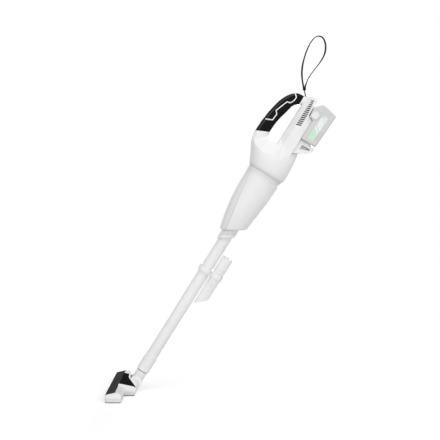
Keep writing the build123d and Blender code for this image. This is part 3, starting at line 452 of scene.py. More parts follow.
def capsule_white():
    """Slightly milkier than the casing, with a painted shade line along the step down each side."""
    f = moulded("capsule_white", CAPSULE_WHITE, 0.3, depth=0.00002, corner_shade=0.86)
    axes = f.stick_axes()
    step = CAPSULE_STEP[0][1] / 1000
    for (z0, x0), (z1, x1) in zip(CAPSULE_STEP, CAPSULE_STEP[1:]):
        part = f.spread(axes["Z"], 0.0, (x1 - x0) / 1000, z0 / 1000, z1 / 1000)
        step = f.math("ADD", part, step)
    # Painted shade: a thin dark line at the foot of the step, fading out towards the ring.
    beside = f.math("ADD", f.math("SUBTRACT", axes["X"], step), STEP_SHADE_SHIFT)
    line = f.fall(f.math("ABSOLUTE", beside), *STEP_SHADE_WIDTH)
    f.lay_over(f.times(line, f.rise(axes["Z"], *STEP_SHADE_TOP)), shade(CAPSULE_WHITE, 0.72))
    f.level("Subsurface Weight", 0.06)
    f.level("Subsurface Radius", (0.004, 0.004, 0.004))
    return f.material


def tube_white():
    """Drawn tube: faint lines along its length."""
    f = moulded("tube_white", TUBE_WHITE, 0.34, grain=1800.0)
    stretched = f.add("ShaderNodeMapping", Vector=f.along_stick(), Scale=(900.0, 900.0, 6.0))
    f.relief(f.noise(1.0, where=stretched.outputs[0]), strength=0.12, depth=0.00003)
    return f.material


def grip_black():
    """Soft overmoulded rubber with a leathery pebble, and a painted highlight: lighter grey
    along the outer ridge, where the surface turns partly outward."""
    f = Finish("grip_black", (0.005, 0.005, 0.005), 0.5)
    worn = f.noise(24.0, detail=4.0)
    f.colour(f.mottle(worn, (0.003, 0.003, 0.0032), (0.006, 0.006, 0.0064)))
    facing = f.tree.nodes.new("ShaderNodeVectorMath")
    facing.operation = "DOT_PRODUCT"
    surface = f.tree.nodes.new("ShaderNodeNewGeometry")
    f.tree.links.new(surface.outputs["Normal"], facing.inputs[0])
    facing.inputs[1].default_value = STICK.to_3x3() @ Vector((-1.0, 0.0, 0.0))
    outward = facing.outputs["Value"]
    # Painted highlight: surfaces turned partly outward get a lighter grey, standing in for sheen on
    # the ridge.
    ridge_highlight = f.times(f.rise(outward, 0.24, 0.36), f.fall(outward, 0.5, 0.62))
    f.lay_over(f.times(ridge_highlight, f.spread(worn, 0.55, 1.0)), (0.06, 0.06, 0.061))
    f.roughness(f.spread(worn, 0.5, 0.36))
    f.soft_edges(0.0008)
    f.relief(f.pores(1150.0), strength=0.25, depth=0.0001)
    f.level("Specular IOR Level", 0.1)
    return f.material


def panel_black():
    """Glossier black cover with a fine texture."""
    f = moulded("panel_black", (0.01, 0.01, 0.0105), 0.38, grain=1700.0, depth=0.00005,
                edge=0.0009, variation=0.2, gloss=0.01)
    return f.material


def pack_grey():
    f = moulded("pack_grey", (0.64, 0.642, 0.642), 0.42, depth=0.00002, variation=0.02)
    return f.material


def label_pale():
    """Plain print: a pale green foot with a slanted edge, a thin grey rule, a white field
    and a pale green top."""
    slant, foot_top, rule, rule_half, crest_foot = 0.9, 0.213, 0.2215, 0.0011, 0.246
    f = Finish("label_pale", (0.84, 0.86, 0.84), 0.32)
    axes = f.stick_axes()
    slanted = f.math("ADD", axes["Z"], f.times(axes["X"], slant))
    foot = f.math("LESS_THAN", slanted, foot_top)
    f.colour(f.mix(foot, (0.83, 0.85, 0.84), (0.56, 0.79, 0.62)))
    off_rule = f.math("ABSOLUTE", f.math("SUBTRACT", slanted, rule))
    f.lay_over(f.math("LESS_THAN", off_rule, rule_half), (0.6, 0.62, 0.61))
    crest = f.math("GREATER_THAN", slanted, crest_foot)
    f.lay_over(f.times(crest, 0.55), (0.62, 0.8, 0.66))
    f.roughness(f.spread(f.noise(60.0, detail=3.0), 0.28, 0.38))
    f.relief(f.noise(900.0, detail=1.0), strength=0.1, depth=0.00003)
    return f.material


def lens_green():
    """Milky light lens, a little cloudy inside."""
    f = Finish("lens_green", (0.45, 0.75, 0.5), 0.15)
    f.colour(f.mottle(f.noise(900.0, detail=3.0), (0.38, 0.68, 0.44), (0.55, 0.82, 0.6)))
    f.roughness(f.spread(f.noise(300.0), 0.1, 0.2))
    return f.material


def plated_steel():
    f = Finish("plated_steel", (0.58, 0.58, 0.585), 0.32)
    f.level("Metallic", 1.0)
    worn = f.noise(420.0, detail=4.0)
    f.colour(f.mottle(worn, (0.5, 0.5, 0.51), (0.66, 0.66, 0.66)))
    f.roughness(f.spread(worn, 0.24, 0.42))
    f.soft_edges(0.0003)
    return f.material


def contact_brass():
    f = Finish("contact_brass", (0.72, 0.55, 0.26), 0.28)
    f.level("Metallic", 1.0)
    worn = f.noise(300.0, detail=4.0)
    f.colour(f.mottle(worn, (0.6, 0.45, 0.2), (0.78, 0.62, 0.32)))
    f.roughness(f.spread(worn, 0.22, 0.4))
    return f.material


def lamination_grey():
    """Thin stacked sheets seen from their edges."""
    f = Finish("lamination_grey", (0.24, 0.24, 0.25), 0.5)
    f.level("Metallic", 0.8)
    sheets = f.stripes(f.stick_axes()["Z"], 0.0005)
    f.colour(f.mix(sheets, (0.12, 0.12, 0.125), (0.34, 0.34, 0.35)))
    f.relief(sheets, strength=0.4, depth=0.0002)
    return f.material


def board_green():
    """Solder mask with lighter tracks."""
    mask, dark_mask, track = (0.02, 0.16, 0.06), (0.015, 0.13, 0.05), (0.05, 0.26, 0.11)
    f = Finish("board_green", mask, 0.35)
    cells = f.add("ShaderNodeTexBrick", Vector=f.along_stick(), Scale=120.0,
                  Color1=(*mask, 1.0), Color2=(*dark_mask, 1.0), Mortar=(*track, 1.0))
    f.colour(cells.outputs["Color"])
    f.roughness(f.spread(f.noise(80.0), 0.3, 0.42))
    return f.material


def foam_dark():
    """Open-cell foam: small dark pores."""
    f = Finish("foam_dark", (0.03, 0.03, 0.032), 0.95)
    pores = f.pores(800.0)
    f.colour(f.mix(f.rise(pores, 0.1, 0.6), (0.004, 0.004, 0.0045), (0.03, 0.03, 0.032)))
    f.relief(pores, strength=0.9, depth=0.0006)
    return f.material


def seal_rubber():
    f = Finish("seal_rubber", (0.03, 0.03, 0.031), 0.6)
    bloom = f.noise(55.0, detail=5.0)
    f.colour(f.mottle(bloom, (0.022, 0.022, 0.023), (0.05, 0.05, 0.052)))
    f.roughness(f.spread(bloom, 0.5, 0.72))
    return f.material


def filter_paper():
    """Pressed fibre: mottled cream with fine fibres in relief."""
    f = Finish("filter_paper", (0.8, 0.78, 0.71), 0.9)
    f.colour(f.mottle(f.noise(160.0, detail=6.0), (0.7, 0.68, 0.61), (0.84, 0.82, 0.76)))
    f.relief(f.noise(2200.0, detail=4.0), strength=0.5, depth=0.00015)
    return f.material


CELL_END = 0.0316


def cell_wrap():
    """Shrink sleeve with pale end caps."""
    f = Finish("cell_wrap", (0.1, 0.28, 0.42), 0.3)
    cap = f.math("GREATER_THAN", f.off_middle(), CELL_END)
    f.colour(f.mix(cap, (0.08, 0.24, 0.38), (0.62, 0.63, 0.64)))
    f.roughness(f.spread(f.noise(90.0, detail=3.0), 0.22, 0.4))
    return f.material


def strap_weave():
    """Narrow black ribbon: rows of weft crossed by threads along it."""
    f = Finish("strap_weave", (0.012, 0.012, 0.013), 0.72)
    axes = f.ribbon_axes()
    weave = f.times(f.stripes(axes["X"], 0.0007), f.stripes(axes["Y"], 0.0006))
    f.colour(f.mix(f.times(weave, 4.0), (0.007, 0.007, 0.008), (0.018, 0.018, 0.019)))
    f.relief(weave, strength=0.5, depth=0.00015)
    f.level("Sheen Weight", 0.05)
    return f.material


BRAID_PITCH = 0.0016


def tail_braid():
    """Thin braided cord: crossing diagonal strands round it."""
    f = Finish("tail_braid", (0.012, 0.012, 0.013), 0.7)
    axes = f.ribbon_axes()
    along = f.times(axes["X"], 1.0 / BRAID_PITCH)
    one = f.math("PINGPONG", f.math("ADD", along, axes["Y"]), 0.5)
    two = f.math("PINGPONG", f.math("SUBTRACT", along, axes["Y"]), 0.5)
    strands = f.math("MAXIMUM", one, two)
    f.colour(f.mix(strands, (0.005, 0.005, 0.006), (0.03, 0.03, 0.032)))
    f.relief(strands, strength=0.7, depth=0.0002)
    return f.material


def lint_red():
    """Cut pile: mottled red with a soft sheen."""
    f = Finish("lint_red", (0.28, 0.03, 0.035), 0.85)
    f.colour(f.mottle(f.noise(500.0, detail=3.0), (0.2, 0.02, 0.025), (0.36, 0.05, 0.055)))
    f.relief(f.noise(3000.0, detail=2.0), strength=0.5, depth=0.0001)
    f.level("Sheen Weight", 0.3)
    return f.material


def sole_grey():
    """Pale plate with a painted shadow: a dark band along its lowest edge, where it meets the floor.
    """
    f = moulded("sole_grey", SOLE_GREY, 0.5, grain=1400.0, depth=0.00008)
    waver = f.times(f.noise(60.0, detail=3.0), SOLE_SHADOW_WAVER)
    # Painted shadow: a dark band just above the floor, standing in for the contact shadow under the
    # head.
    contact_shadow = f.fall(f.math("ADD", f.above_floor(), waver), *SOLE_SHADOW_HEIGHTS)
    f.lay_over(contact_shadow, (0.2, 0.2, 0.202))
    return f.material


FINISHES = {
    "white_plastic": fitting_white(),
    "casing": casing_white(),
    "neck": neck_white(),
    "head": head_white(),
    "capsule": capsule_white(),
    "tube_white": tube_white(),
    "grip_rubber": grip_black(),
    "trim_white": moulded("trim_white", (0.86, 0.86, 0.855), 0.4).material,
    "black_plastic": panel_black(),
    "button_grey": moulded("button_grey", (0.2, 0.2, 0.205), 0.45, variation=0.1).material,
    "pack_grey": pack_grey(),
    "latch_light": moulded("latch_light", (0.8, 0.802, 0.803), 0.4, edge=0.001).material,
    "label_green": label_pale(),
    "lens": lens_green(),
    "cell_wrap": cell_wrap(),
    "frame_black": moulded("frame_black", (0.035, 0.035, 0.036), 0.5, variation=0.15).material,
    "steel": plated_steel(),
    "laminations": lamination_grey(),
    "contact_brass": contact_brass(),
    "board_green": board_green(),
    "foam_grey": foam_dark(),
    "seal_rubber": seal_rubber(),
    "filter_paper": filter_paper(),
    "filter_plastic": moulded("filter_plastic", (0.42, 0.42, 0.435), 0.45).material,
    "strap_fabric": strap_weave(),
    "lint_fabric": lint_red(),
    "sole_grey": sole_grey(),
}
TAIL_BRAID = tail_braid()

# Nodes whose finish differs from that of the other nodes in their slot
OWN_FINISH = {
    "casing_left": "casing",
    "casing_right": "casing",
    "capsule_shell": "capsule",
    "capsule_ring": "capsule",
    "neck_pipe": "neck",
    "head_cover": "head",
}


def dress_nodes():
    slots = {entry["node"]: entry["material_slot"] for entry in frame["record"]["subparts"]}
    for name, node in nodes.items():
        node.data.materials.clear()
        node.data.materials.append(FINISHES[OWN_FINISH.get(name, slots[name])])


dress_nodes()


# Pieces
def new_piece(name, mesh, finish, body):
    piece = bpy.data.objects.new(name, mesh)
    scene.collection.objects.link(piece)
    mesh.materials.clear()
    mesh.materials.append(finish)
    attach(piece, body)
    return piece


def flat_mesh(name, form):
    mesh = bpy.data.meshes.new(name)
    bmesh.ops.recalc_face_normals(form, faces=form.faces)
    form.to_mesh(mesh)
    form.free()
    return mesh


def smooth_mesh(name, form):
    mesh = flat_mesh(name, form)
    for face in mesh.polygons:
        face.use_smooth = True
    return mesh


def add_prism(form, low, high):
    """The solid between two outlines with the same number of corners."""
    low = [form.verts.new(point) for point in low]
    high = [form.verts.new(point) for point in high]
    form.faces.new(low)
    form.faces.new(list(reversed(high)))
    for i in range(len(low)):
        n = (i + 1) % len(low)
        form.faces.new((low[i], high[i], high[n], low[n]))


def oval_point(turn, squareness):
    """A point on a rounded rectangle, from -1 to 1 each way."""
    return [math.copysign(abs(c) ** squareness, c) for c in (math.cos(turn), math.sin(turn))]


# Wrist strap: its route in the middle plane, its twist in degrees by share of its length,
# the route of its tail, and the sleeve's height and half widths from its foot up.
# Routes and sleeve in millimetres.
STRAP_ROUTE = [
    (76.4, 67.5), (72.0, 86.0), (70.8, 116.0), (77.5, 148.0), (89.5, 180.0),
    (106.0, 203.0), (124.5, 203.5), (135.2, 184.0), (133.5, 157.0), (119.0, 132.0),
    (100.5, 109.5), (85.5, 88.0), (80.0, 67.5),
]
STRAP_TURNS = [
    (0.0, 60), (0.05, 40), (0.14, 72), (0.27, 30), (0.45, 16), (0.53, 60),
    (0.62, 74), (0.7, 40), (0.78, 14), (0.93, 12), (1.0, 50),
]
STRAP_WIDTH, STRAP_THICK, STRAP_SIDES = 0.005, 0.0021, 20
TAIL_ROUTE = [
    (78.2, -1.6, 59.5), (81.95, -4.4, 44.21), (81.95, 4.4, 44.21), (78.2, 1.6, 59.5),
]
TAIL_TURNS = [(0.0, 0), (1.0, 0)]
TAIL_ACROSS, TAIL_SIDES = 0.0022, 12
CRIMP_RINGS = [
    (0.0, 3.3, 1.8), (0.5, 4.0, 2.3), (1.0, 4.2, 2.4), (2.2, 4.2, 2.4), (2.6, 3.85, 2.1),
    (3.2, 3.85, 2.1), (3.6, 4.2, 2.4), (5.4, 4.2, 2.4), (5.8, 3.85, 2.1), (6.4, 3.85, 2.1),
    (6.8, 4.2, 2.4), (8.0, 4.2, 2.4), (8.5, 4.0, 2.3), (9.0, 3.3, 1.8),
]
CRIMP_SIDES = 32
RIBBON_SQUARENESS, CRIMP_SQUARENESS = 0.6, 0.55
LINE_STEPS = 16


def nurbs_line(name, points):
    """The smooth line through a route's control points, as closely spaced points."""
    curve = bpy.data.curves.new(name, "CURVE")
    curve.dimensions = "3D"
    curve.resolution_u = LINE_STEPS
    spline = curve.splines.new("NURBS")
    spline.points.add(len(points) - 1)
    for control, point in zip(spline.points, points):
        control.co = (*point, 1.0)
    spline.order_u = 3
    spline.use_endpoint_u = True
    carrier = bpy.data.objects.new(name, curve)
    scene.collection.objects.link(carrier)
    bpy.context.view_layer.update()
    graph = bpy.context.evaluated_depsgraph_get()
    mesh = bpy.data.meshes.new_from_object(carrier.evaluated_get(graph))
    line = [vertex.co.copy() for vertex in mesh.vertices]
    bpy.data.objects.remove(carrier)
    bpy.data.curves.remove(curve)
    bpy.data.meshes.remove(mesh)
    return line


def line_length(line):
    return sum((b - a).length for a, b in zip(line, line[1:]))


def keyed(share, keys):
    """The eased value between the keys on each side of a share."""
    for (s0, v0), (s1, v1) in zip(keys, keys[1:]):
        if share <= s1:
            t = (share - s0) / (s1 - s0)
            t = t * t * (3 - 2 * t)
            return v0 + (v1 - v0) * t
    return keys[-1][1]


def cross_axes(ahead, turn):
    """The wide and the thin direction of a ribbon, turned about the line it follows."""
    side = Vector((0, 1, 0)) - ahead * ahead.y
    if side.length < 0.3:
        side = Vector((1, 0, 0)) - ahead * ahead.x
    side.normalize()
    wide = side * math.cos(turn) + ahead.cross(side) * math.sin(turn)
    return wide, ahead.cross(wide)


def ribbon_mesh(name, line, width, thickness, turn_keys, sides):
    """A closed flat or round tube along a line, with a UV map in metres along and across it."""
    form = bmesh.new()
    uv = form.loops.layers.uv.new("along")
    total = line_length(line)
    rings, run = [], 0.0
    for i, point in enumerate(line):
        if i:
            run += (point - line[i - 1]).length
        ahead = line[min(i + 1, len(line) - 1)] - line[max(i - 1, 0)]
        ahead.normalize()
        wide, thin = cross_axes(ahead, math.radians(keyed(run / total, turn_keys)))
        ring = []
        for k in range(sides):
            u, v = oval_point(2 * math.pi * k / sides, RIBBON_SQUARENESS)
            spot = point + wide * (u * width / 2) + thin * (v * thickness / 2)
            ring.append(form.verts.new(spot))
        rings.append((ring, run))
    for (ring_a, run_a), (ring_b, run_b) in zip(rings, rings[1:]):
        for k in range(sides):
            n = (k + 1) % sides
            face = form.faces.new((ring_a[k], ring_a[n], ring_b[n], ring_b[k]))
            here, next_to = width * k / sides, width * (k + 1) / sides
            spots = ((run_a, here), (run_a, next_to), (run_b, next_to), (run_b, here))
            for loop, spot in zip(face.loops, spots):
                loop[uv].uv = spot
    form.faces.new(reversed(rings[0][0]))
    form.faces.new(rings[-1][0])
    return smooth_mesh(name, form)


def make_crimp():
    """The pinched sleeve that gathers the strap's ends: a flat oval with two pressed rings."""
    low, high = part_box("strap_crimp")
    centre = (Vector(low) + Vector(high)) / 2
    form = bmesh.new()
    rings = []
    for z, half_x, half_y in CRIMP_RINGS:
        ring = []
        for k in range(CRIMP_SIDES):
            u, v = oval_point(2 * math.pi * k / CRIMP_SIDES, CRIMP_SQUARENESS)
            x, y = centre.x + u * half_x / 1000, centre.y + v * half_y / 1000
            ring.append(form.verts.new((x, y, low[2] + z / 1000)))
        rings.append(ring)
    for a, b in zip(rings, rings[1:]):
        for k in range(CRIMP_SIDES):
            n = (k + 1) % CRIMP_SIDES
            form.faces.new((a[k], a[n], b[n], b[k]))
    form.faces.new(list(reversed(rings[0])))
    form.faces.new(rings[-1])
    mesh = smooth_mesh("strap_sleeve", form)
    crimp = new_piece("strap_sleeve", mesh, FINISHES["black_plastic"], "body")
    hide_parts("strap_crimp")
    return crimp


def make_strap():
    crimp = make_crimp()
    line = nurbs_line("strap_line", [(x / 1000, 0.0, z / 1000) for x, z in STRAP_ROUTE])
    mesh = ribbon_mesh("wrist_strap", line, STRAP_WIDTH, STRAP_THICK, STRAP_TURNS, STRAP_SIDES)
    strap = new_piece("wrist_strap", mesh, FINISHES["strap_fabric"], "body")
    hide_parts("strap_loop")
    tail_points = [tuple(c / 1000 for c in point) for point in TAIL_ROUTE]
    tail_line = nurbs_line("tail_line", tail_points)
    mesh = ribbon_mesh("strap_tail_cord", tail_line, TAIL_ACROSS, TAIL_ACROSS, TAIL_TURNS, TAIL_SIDES)
    tail = new_piece("strap_tail_cord", mesh, TAIL_BRAID, "body")
    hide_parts("strap_tail")


make_strap()


# Pieces that repeat, each made by a node tree with named sizes
class Repeat:
    """A geometry tree run once on a set of places and kept as a plain mesh."""

    def __init__(self, name, sizes):
        self.name = name
        self.sizes = sizes
        self.tree = bpy.data.node_groups.new(name, "GeometryNodeTree")
        face = self.tree.interface
        face.new_socket("Places", in_out="INPUT", socket_type="NodeSocketGeometry")
        for label, value in sizes.items():
            kind = "NodeSocketVector" if isinstance(value, tuple) else "NodeSocketFloat"
            face.new_socket(label, in_out="INPUT", socket_type=kind)
        face.new_socket("Made", in_out="OUTPUT", socket_type="NodeSocketGeometry")
        self.given = self.tree.nodes.new("NodeGroupInput").outputs
        self.made = self.tree.nodes.new("NodeGroupOutput").inputs

    def add(self, kind, inputs, **settings):
        node = self.tree.nodes.new(kind)
        for key, value in settings.items():
            setattr(node, key, value)
        for key, value in inputs.items():
            for one in value if isinstance(value, list) else [value]:
                put(self.tree, one, node.inputs[key])
        return node.outputs[0]

    def times(self, a, b):
        node = self.tree.nodes.new("ShaderNodeMath")
        node.operation = "MULTIPLY"
        put(self.tree, a, node.inputs[0])
        put(self.tree, b, node.inputs[1])
        return node.outputs[0]

    def spot(self, x, y, z):
        return self.add("ShaderNodeCombineXYZ", {"X": x, "Y": y, "Z": z})

    def moved(self, shape, place):
        return self.add("GeometryNodeTransform", {"Geometry": shape, "Translation": place})

    def raised(self, shape, height):
        return self.moved(shape, self.spot(0.0, 0.0, height))

    def turned(self, angles):
        return self.add("FunctionNodeEulerToRotation", {"Euler": angles})

    def random_turn(self, low, high, seed):
        node = self.tree.nodes.new("FunctionNodeRandomValue")
        node.data_type = "FLOAT_VECTOR"
        node.inputs["Min"].default_value = low
        node.inputs["Max"].default_value = high
        node.inputs["Seed"].default_value = seed
        return self.turned(node.outputs["Value"])

    def swept(self, line, radius, resolution):
        edge = self.add("GeometryNodeCurvePrimitiveCircle", {
            "Resolution": resolution, "Radius": radius})
        return self.add("GeometryNodeCurveToMesh", {
            "Curve": line, "Profile Curve": edge, "Fill Caps": True})

    def at_points(self, points, shape, **turn):
        return self.add("GeometryNodeInstanceOnPoints", {"Points": points, "Instance": shape, **turn})

    def joined(self, shapes):
        return self.add("GeometryNodeJoinGeometry", {"Geometry": shapes})

    def run(self, places, shape, finish):
        shape = self.add("GeometryNodeRealizeInstances", {"Geometry": shape})
        shape = self.add("GeometryNodeSetMaterial", {"Geometry": shape, "Material": finish})
        self.tree.links.new(shape, self.made[0])
        carrier = bpy.data.objects.new(self.name, places)
        scene.collection.objects.link(carrier)
        modifier = carrier.modifiers.new(self.name, "NODES")
        modifier.node_group = self.tree
        for item in self.tree.interface.items_tree:
            if item.name in self.sizes:
                modifier[item.identifier] = self.sizes[item.name]
        graph = bpy.context.evaluated_depsgraph_get()
        mesh = bpy.data.meshes.new_from_object(carrier.evaluated_get(graph))
        bpy.data.objects.remove(carrier)
        return mesh


def place_mesh(name, points, faces=()):
    mesh = bpy.data.meshes.new(name)
    mesh.from_pydata(points, [], faces)
    return mesh


# Screws: sizes in metres, then shares of the head's radius or height and of the length
SCREW_SIZES = {"Head radius": 0.003, "Head height": 0.0024, "Core radius": 0.0012}
HEAD_TAPER = 0.87
RECESS_LONG, RECESS_WIDE, RECESS_DEEP = 0.98, 0.26, 1.1
CORE_LENGTH, CORE_MIDDLE = 0.92, -0.54
THREAD_LENGTH, THREAD_FOOT = 0.6, -0.98
THREAD_TURNS, THREAD_RADIUS = 8.0, 0.00028
SCREW_SPIN, SCREW_SEED = 1.5, 5

# Where they sit: along the stick, and from the floor under the head's pivot, in millimetres
CASING_SCREWS = [(-68, 62), (38, 58), (24, 112), (-7, 222)]
CASING_SCREW_SEAT, CASING_SCREW_LENGTH = 10.4, 0.0184
SOLE_SCREWS = [(-36, 103), (-9, 38), (-36, -103), (-9, -38)]
SOLE_SCREW_SEAT, SOLE_SCREW_LENGTH = 0.4, 0.0116


def screw_set(name, points, turn, length, body, node):
    """Small cross-head screws: a slightly coned head with its recess, a core and a thread."""
    r = Repeat(name, {**SCREW_SIZES, "Length": length, "Turn": turn})
    head_r, head_h, core_r = (r.given[size] for size in SCREW_SIZES)
    long = r.given["Length"]
    head = r.add("GeometryNodeMeshCone", {
        "Vertices": 32, "Radius Top": r.times(head_r, HEAD_TAPER), "Radius Bottom": head_r,
        "Depth": head_h})
    head = r.raised(head, r.times(head_h, -1.0))
    slots = []
    for across, along in ((RECESS_LONG, RECESS_WIDE), (RECESS_WIDE, RECESS_LONG)):
        size = r.spot(r.times(head_r, across), r.times(head_r, along), r.times(head_h, RECESS_DEEP))
        slots.append(r.add("GeometryNodeMeshCube", {"Size": size}))
    head = r.add("GeometryNodeMeshBoolean", {"Mesh 1": head, "Mesh 2": slots}, operation="DIFFERENCE")
    core = r.add("GeometryNodeMeshCylinder", {
        "Vertices": 16, "Radius": core_r, "Depth": r.times(long, CORE_LENGTH)})
    core = r.raised(core, r.times(long, CORE_MIDDLE))
    thread = r.add("GeometryNodeCurveSpiral", {
        "Resolution": 14, "Rotations": THREAD_TURNS, "Start Radius": core_r, "End Radius": core_r,
        "Height": r.times(long, THREAD_LENGTH)})
    thread = r.swept(thread, THREAD_RADIUS, 4)
    thread = r.raised(thread, r.times(long, THREAD_FOOT))
    screw = r.joined([head, core, thread])
    screws = r.at_points(r.given["Places"], screw, Rotation=r.turned(r.given["Turn"]))
    spin = r.random_turn((0.0, 0.0, 0.0), (0.0, 0.0, SCREW_SPIN), SCREW_SEED)
    screws = r.add("GeometryNodeRotateInstances", {"Instances": screws, "Rotation": spin})
    mesh = r.run(place_mesh(name, points), screws, FINISHES["steel"])
    piece = new_piece(name, mesh, FINISHES["steel"], body)
    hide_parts(node)


def make_screws():
    points = [stick(x, CASING_SCREW_SEAT, z) for x, z in CASING_SCREWS]
    sideways = (math.radians(-90), 0.0, 0.0)
    screw_set("casing_cross_screws", points, sideways, CASING_SCREW_LENGTH, "body", "casing_screws")
    points = [on_floor(x, y, SOLE_SCREW_SEAT) for x, y in SOLE_SCREWS]
    upward = (math.radians(180), 0.0, 0.0)
    screw_set("sole_cross_screws", points, upward, SOLE_SCREW_LENGTH, "head", "sole_screws")


# Lint strips: front and back edge of each, half length and height above the floor, in
# millimetres, then the pile's sizes in metres and how far it leans, in radians
LINT_EDGES = [(-65.6, -62.4), (-42.6, -39.4)]
LINT_HALF, LINT_HEIGHT = 97.5, 2.45
LINT_SIZES = {
    "Pile height": 0.0019, "Pile width": 0.00034, "Density": 2400000.0,
    "Backing": (0.004, 0.196, 0.00055),
}
PILE_TAPER = 0.4
PILE_ROCK, PILE_LEAN, PILE_TWIST = 0.2, 0.3, 6.2
PILE_SEED, LEAN_SEED = 7, 11
BACKING_RISE = 0.00027


def make_lint_pile():
    """Two strips of short leaning pile on a woven backing, each side of the mouth."""
    points, faces = [], []
    for x0, x1 in LINT_EDGES:
        start = len(points)
        corners = ((x0, -LINT_HALF), (x0, LINT_HALF), (x1, LINT_HALF), (x1, -LINT_HALF))
        points += [on_floor(x, y, LINT_HEIGHT) for x, y in corners]
        faces.append(tuple(range(start, start + 4)))
    r = Repeat("lint_pile", LINT_SIZES)
    foot = r.given["Pile width"]
    tuft = r.add("GeometryNodeMeshCone", {
        "Vertices": 4, "Radius Top": r.times(foot, PILE_TAPER), "Radius Bottom": foot,
        "Depth": r.given["Pile height"]})
    spread = r.add("GeometryNodeDistributePointsOnFaces", {
        "Mesh": r.given["Places"], "Density": r.given["Density"], "Seed": PILE_SEED})
    least = (math.pi - PILE_ROCK, 0.0, 0.0)
    most = (math.pi + PILE_ROCK, PILE_LEAN, PILE_TWIST)
    pile = r.at_points(spread, tuft, Rotation=r.random_turn(least, most, LEAN_SEED))
    backing = r.add("GeometryNodeMeshCube", {"Size": r.given["Backing"]})
    backing = r.moved(backing, (0.0, 0.0, BACKING_RISE))
    middles = r.add("GeometryNodeMeshToPoints", {"Mesh": r.given["Places"]}, mode="FACES")
    strips = r.at_points(middles, backing)
    places = place_mesh("lint_places", points, faces)
    mesh = r.run(places, r.joined([strips, pile]), FINISHES["lint_fabric"])
    piece = new_piece("lint_pile_strips", mesh, FINISHES["lint_fabric"], "head")
    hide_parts("lint_strips")


# Thumb ribs: middle of the lowest one and the step between them, in millimetres along the stick
RIB_X, RIB_Y, RIB_Z = 63.5, 37.0, 148
RIB_STEP, RIB_COUNT = 5.0, 6
RIB_SIZES = {"Rib radius": 0.0006, "Half length": 0.0034}


def make_pack_ribs():
    """Short thumb ribs on both sides of the pack, low on its back edge."""
    points = [stick(RIB_X, side * RIB_Y, RIB_Z + RIB_STEP * i)
              for side in (1, -1) for i in range(RIB_COUNT)]
    r = Repeat("pack_ribs", RIB_SIZES)
    half = r.given["Half length"]
    start, end = r.spot(r.times(half, -1.0), 0.0, 0.0), r.spot(half, 0.0, 0.0)
    run = r.add("GeometryNodeCurvePrimitiveLine", {"Start": start, "End": end})
    rib = r.swept(run, r.given["Rib radius"], 12)
    ribs = r.at_points(r.given["Places"], rib, Rotation=r.turned((0.0, STICK_TILT, 0.0)))
    mesh = r.run(place_mesh("rib_places", points), ribs, FINISHES["pack_grey"])
    new_piece("pack_thumb_ribs", mesh, FINISHES["pack_grey"], "battery")


make_screws()
make_lint_pile()
make_pack_ribs()


# Foam behind the vents: its outline and its two sides in millimetres along the stick
FOAM_OUTLINE = [
    (-0.9, 153.5), (12.9, 153.5), (12.9, 188.2), (8.2, 193.2), (8.2, 235.3), (-0.9, 235.3),
]
FOAM_SIDES = [(-24.3, -19.1), (19.1, 24.3)]
FOAM_EASE = 0.0007


def make_foam():
    """Two cut foam pads with eased edges, pressed lightly against the vents."""
    form = bmesh.new()
    for near, far in FOAM_SIDES:
        front, back = ([stick(x, y, z) for x, z in FOAM_OUTLINE] for y in (near, far))
        add_prism(form, front, back)
    bmesh.ops.recalc_face_normals(form, faces=form.faces)
    bmesh.ops.bevel(form, geom=form.edges, offset=FOAM_EASE, segments=3, affect="EDGES", profile=0.5)
    mesh = smooth_mesh("exhaust_foam_pads", form)
    pad = new_piece("exhaust_foam_pads", mesh, FINISHES["foam_grey"], "body")
    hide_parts("exhaust_foam")


make_foam()


# Marks on the buttons and a light between them, on the control panel's own axes
PANEL_PLACE, PANEL_LEAN = (-0.0832, 0.0, 0.132), math.radians(6.2)
PANEL = STICK @ Matrix.Translation(PANEL_PLACE) @ Matrix.Rotation(PANEL_LEAN, 4, "Y")
BUTTON_FACE = -0.0011
MARK_SINK, MARK_HEIGHT = 0.00005, 0.00015
LIGHT_RADIUS, LIGHT_FLATNESS, LIGHT_RISE = 0.0013, 0.4, -0.0002

# Power mark in millimetres and degrees
POWER_Z, POWER_RADIUS, POWER_LINE = 11.5, 2.4, 0.55
POWER_START, POWER_END, POWER_STEPS = 120, 420, 28
POWER_BAR = (-0.28, 0.28, 11.9, 14.4)

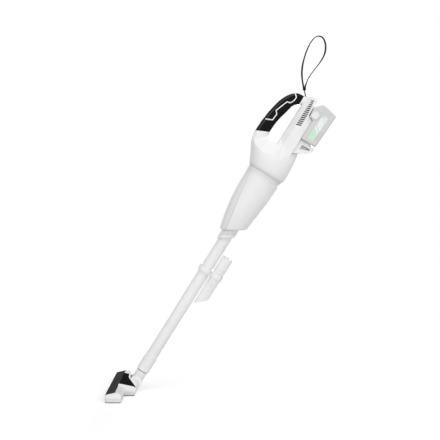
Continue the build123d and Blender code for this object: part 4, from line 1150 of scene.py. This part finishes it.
# Speed mark in millimetres: three bars, each taller than the last
BAR_LEFT, BAR_RIGHT, BAR_PITCH = -2.3, -1.1, 1.7
BAR_FOOT, BAR_TOP, BAR_GROWTH = -13.5, -12.0, 1.3


def raised_marks(name, shapes, body):
    """Flat shapes, given across and along the control panel, slightly proud of a button."""
    form = bmesh.new()
    surface = BUTTON_FACE + MARK_SINK
    for shape in shapes:
        low, high = ([PANEL @ Vector((x, y, z)) for y, z in shape]
                     for x in (surface, surface - MARK_HEIGHT))
        add_prism(form, low, high)
    new_piece(name, flat_mesh(name, form), FINISHES["trim_white"], body)


def arc_shape(z, radius, width, start, end, steps):
    """An open ring about a point on the panel's middle line."""
    turns = [math.radians(start + (end - start) * i / steps) for i in range(steps + 1)]
    inside = radius - width
    outer = [(radius * math.cos(t), z + radius * math.sin(t)) for t in turns]
    inner = [(inside * math.cos(t), z + inside * math.sin(t)) for t in reversed(turns)]
    return [(y / 1000, h / 1000) for y, h in outer + inner]


def bar_shape(y0, y1, z0, z1):
    return [(y / 1000, z / 1000) for y, z in ((y0, z0), (y1, z0), (y1, z1), (y0, z1))]


def make_marks():
    arc = arc_shape(POWER_Z, POWER_RADIUS, POWER_LINE, POWER_START, POWER_END, POWER_STEPS)
    raised_marks("power_mark", [arc, bar_shape(*POWER_BAR)], "power_button")
    bars = [bar_shape(BAR_LEFT + BAR_PITCH * i, BAR_RIGHT + BAR_PITCH * i,
                      BAR_FOOT, BAR_TOP + BAR_GROWTH * i) for i in range(3)]
    raised_marks("speed_mark", bars, "mode_button")
    lens = bmesh.new()
    bmesh.ops.create_uvsphere(lens, u_segments=24, v_segments=12, radius=LIGHT_RADIUS)
    bmesh.ops.scale(lens, vec=(LIGHT_FLATNESS, 1.0, 1.0), verts=lens.verts)
    seat = PANEL @ Matrix.Translation((LIGHT_RISE, 0.0, 0.0))
    bmesh.ops.transform(lens, matrix=seat, verts=lens.verts)
    new_piece("run_light", smooth_mesh("run_light", lens), FINISHES["lens"], "body")


make_marks()
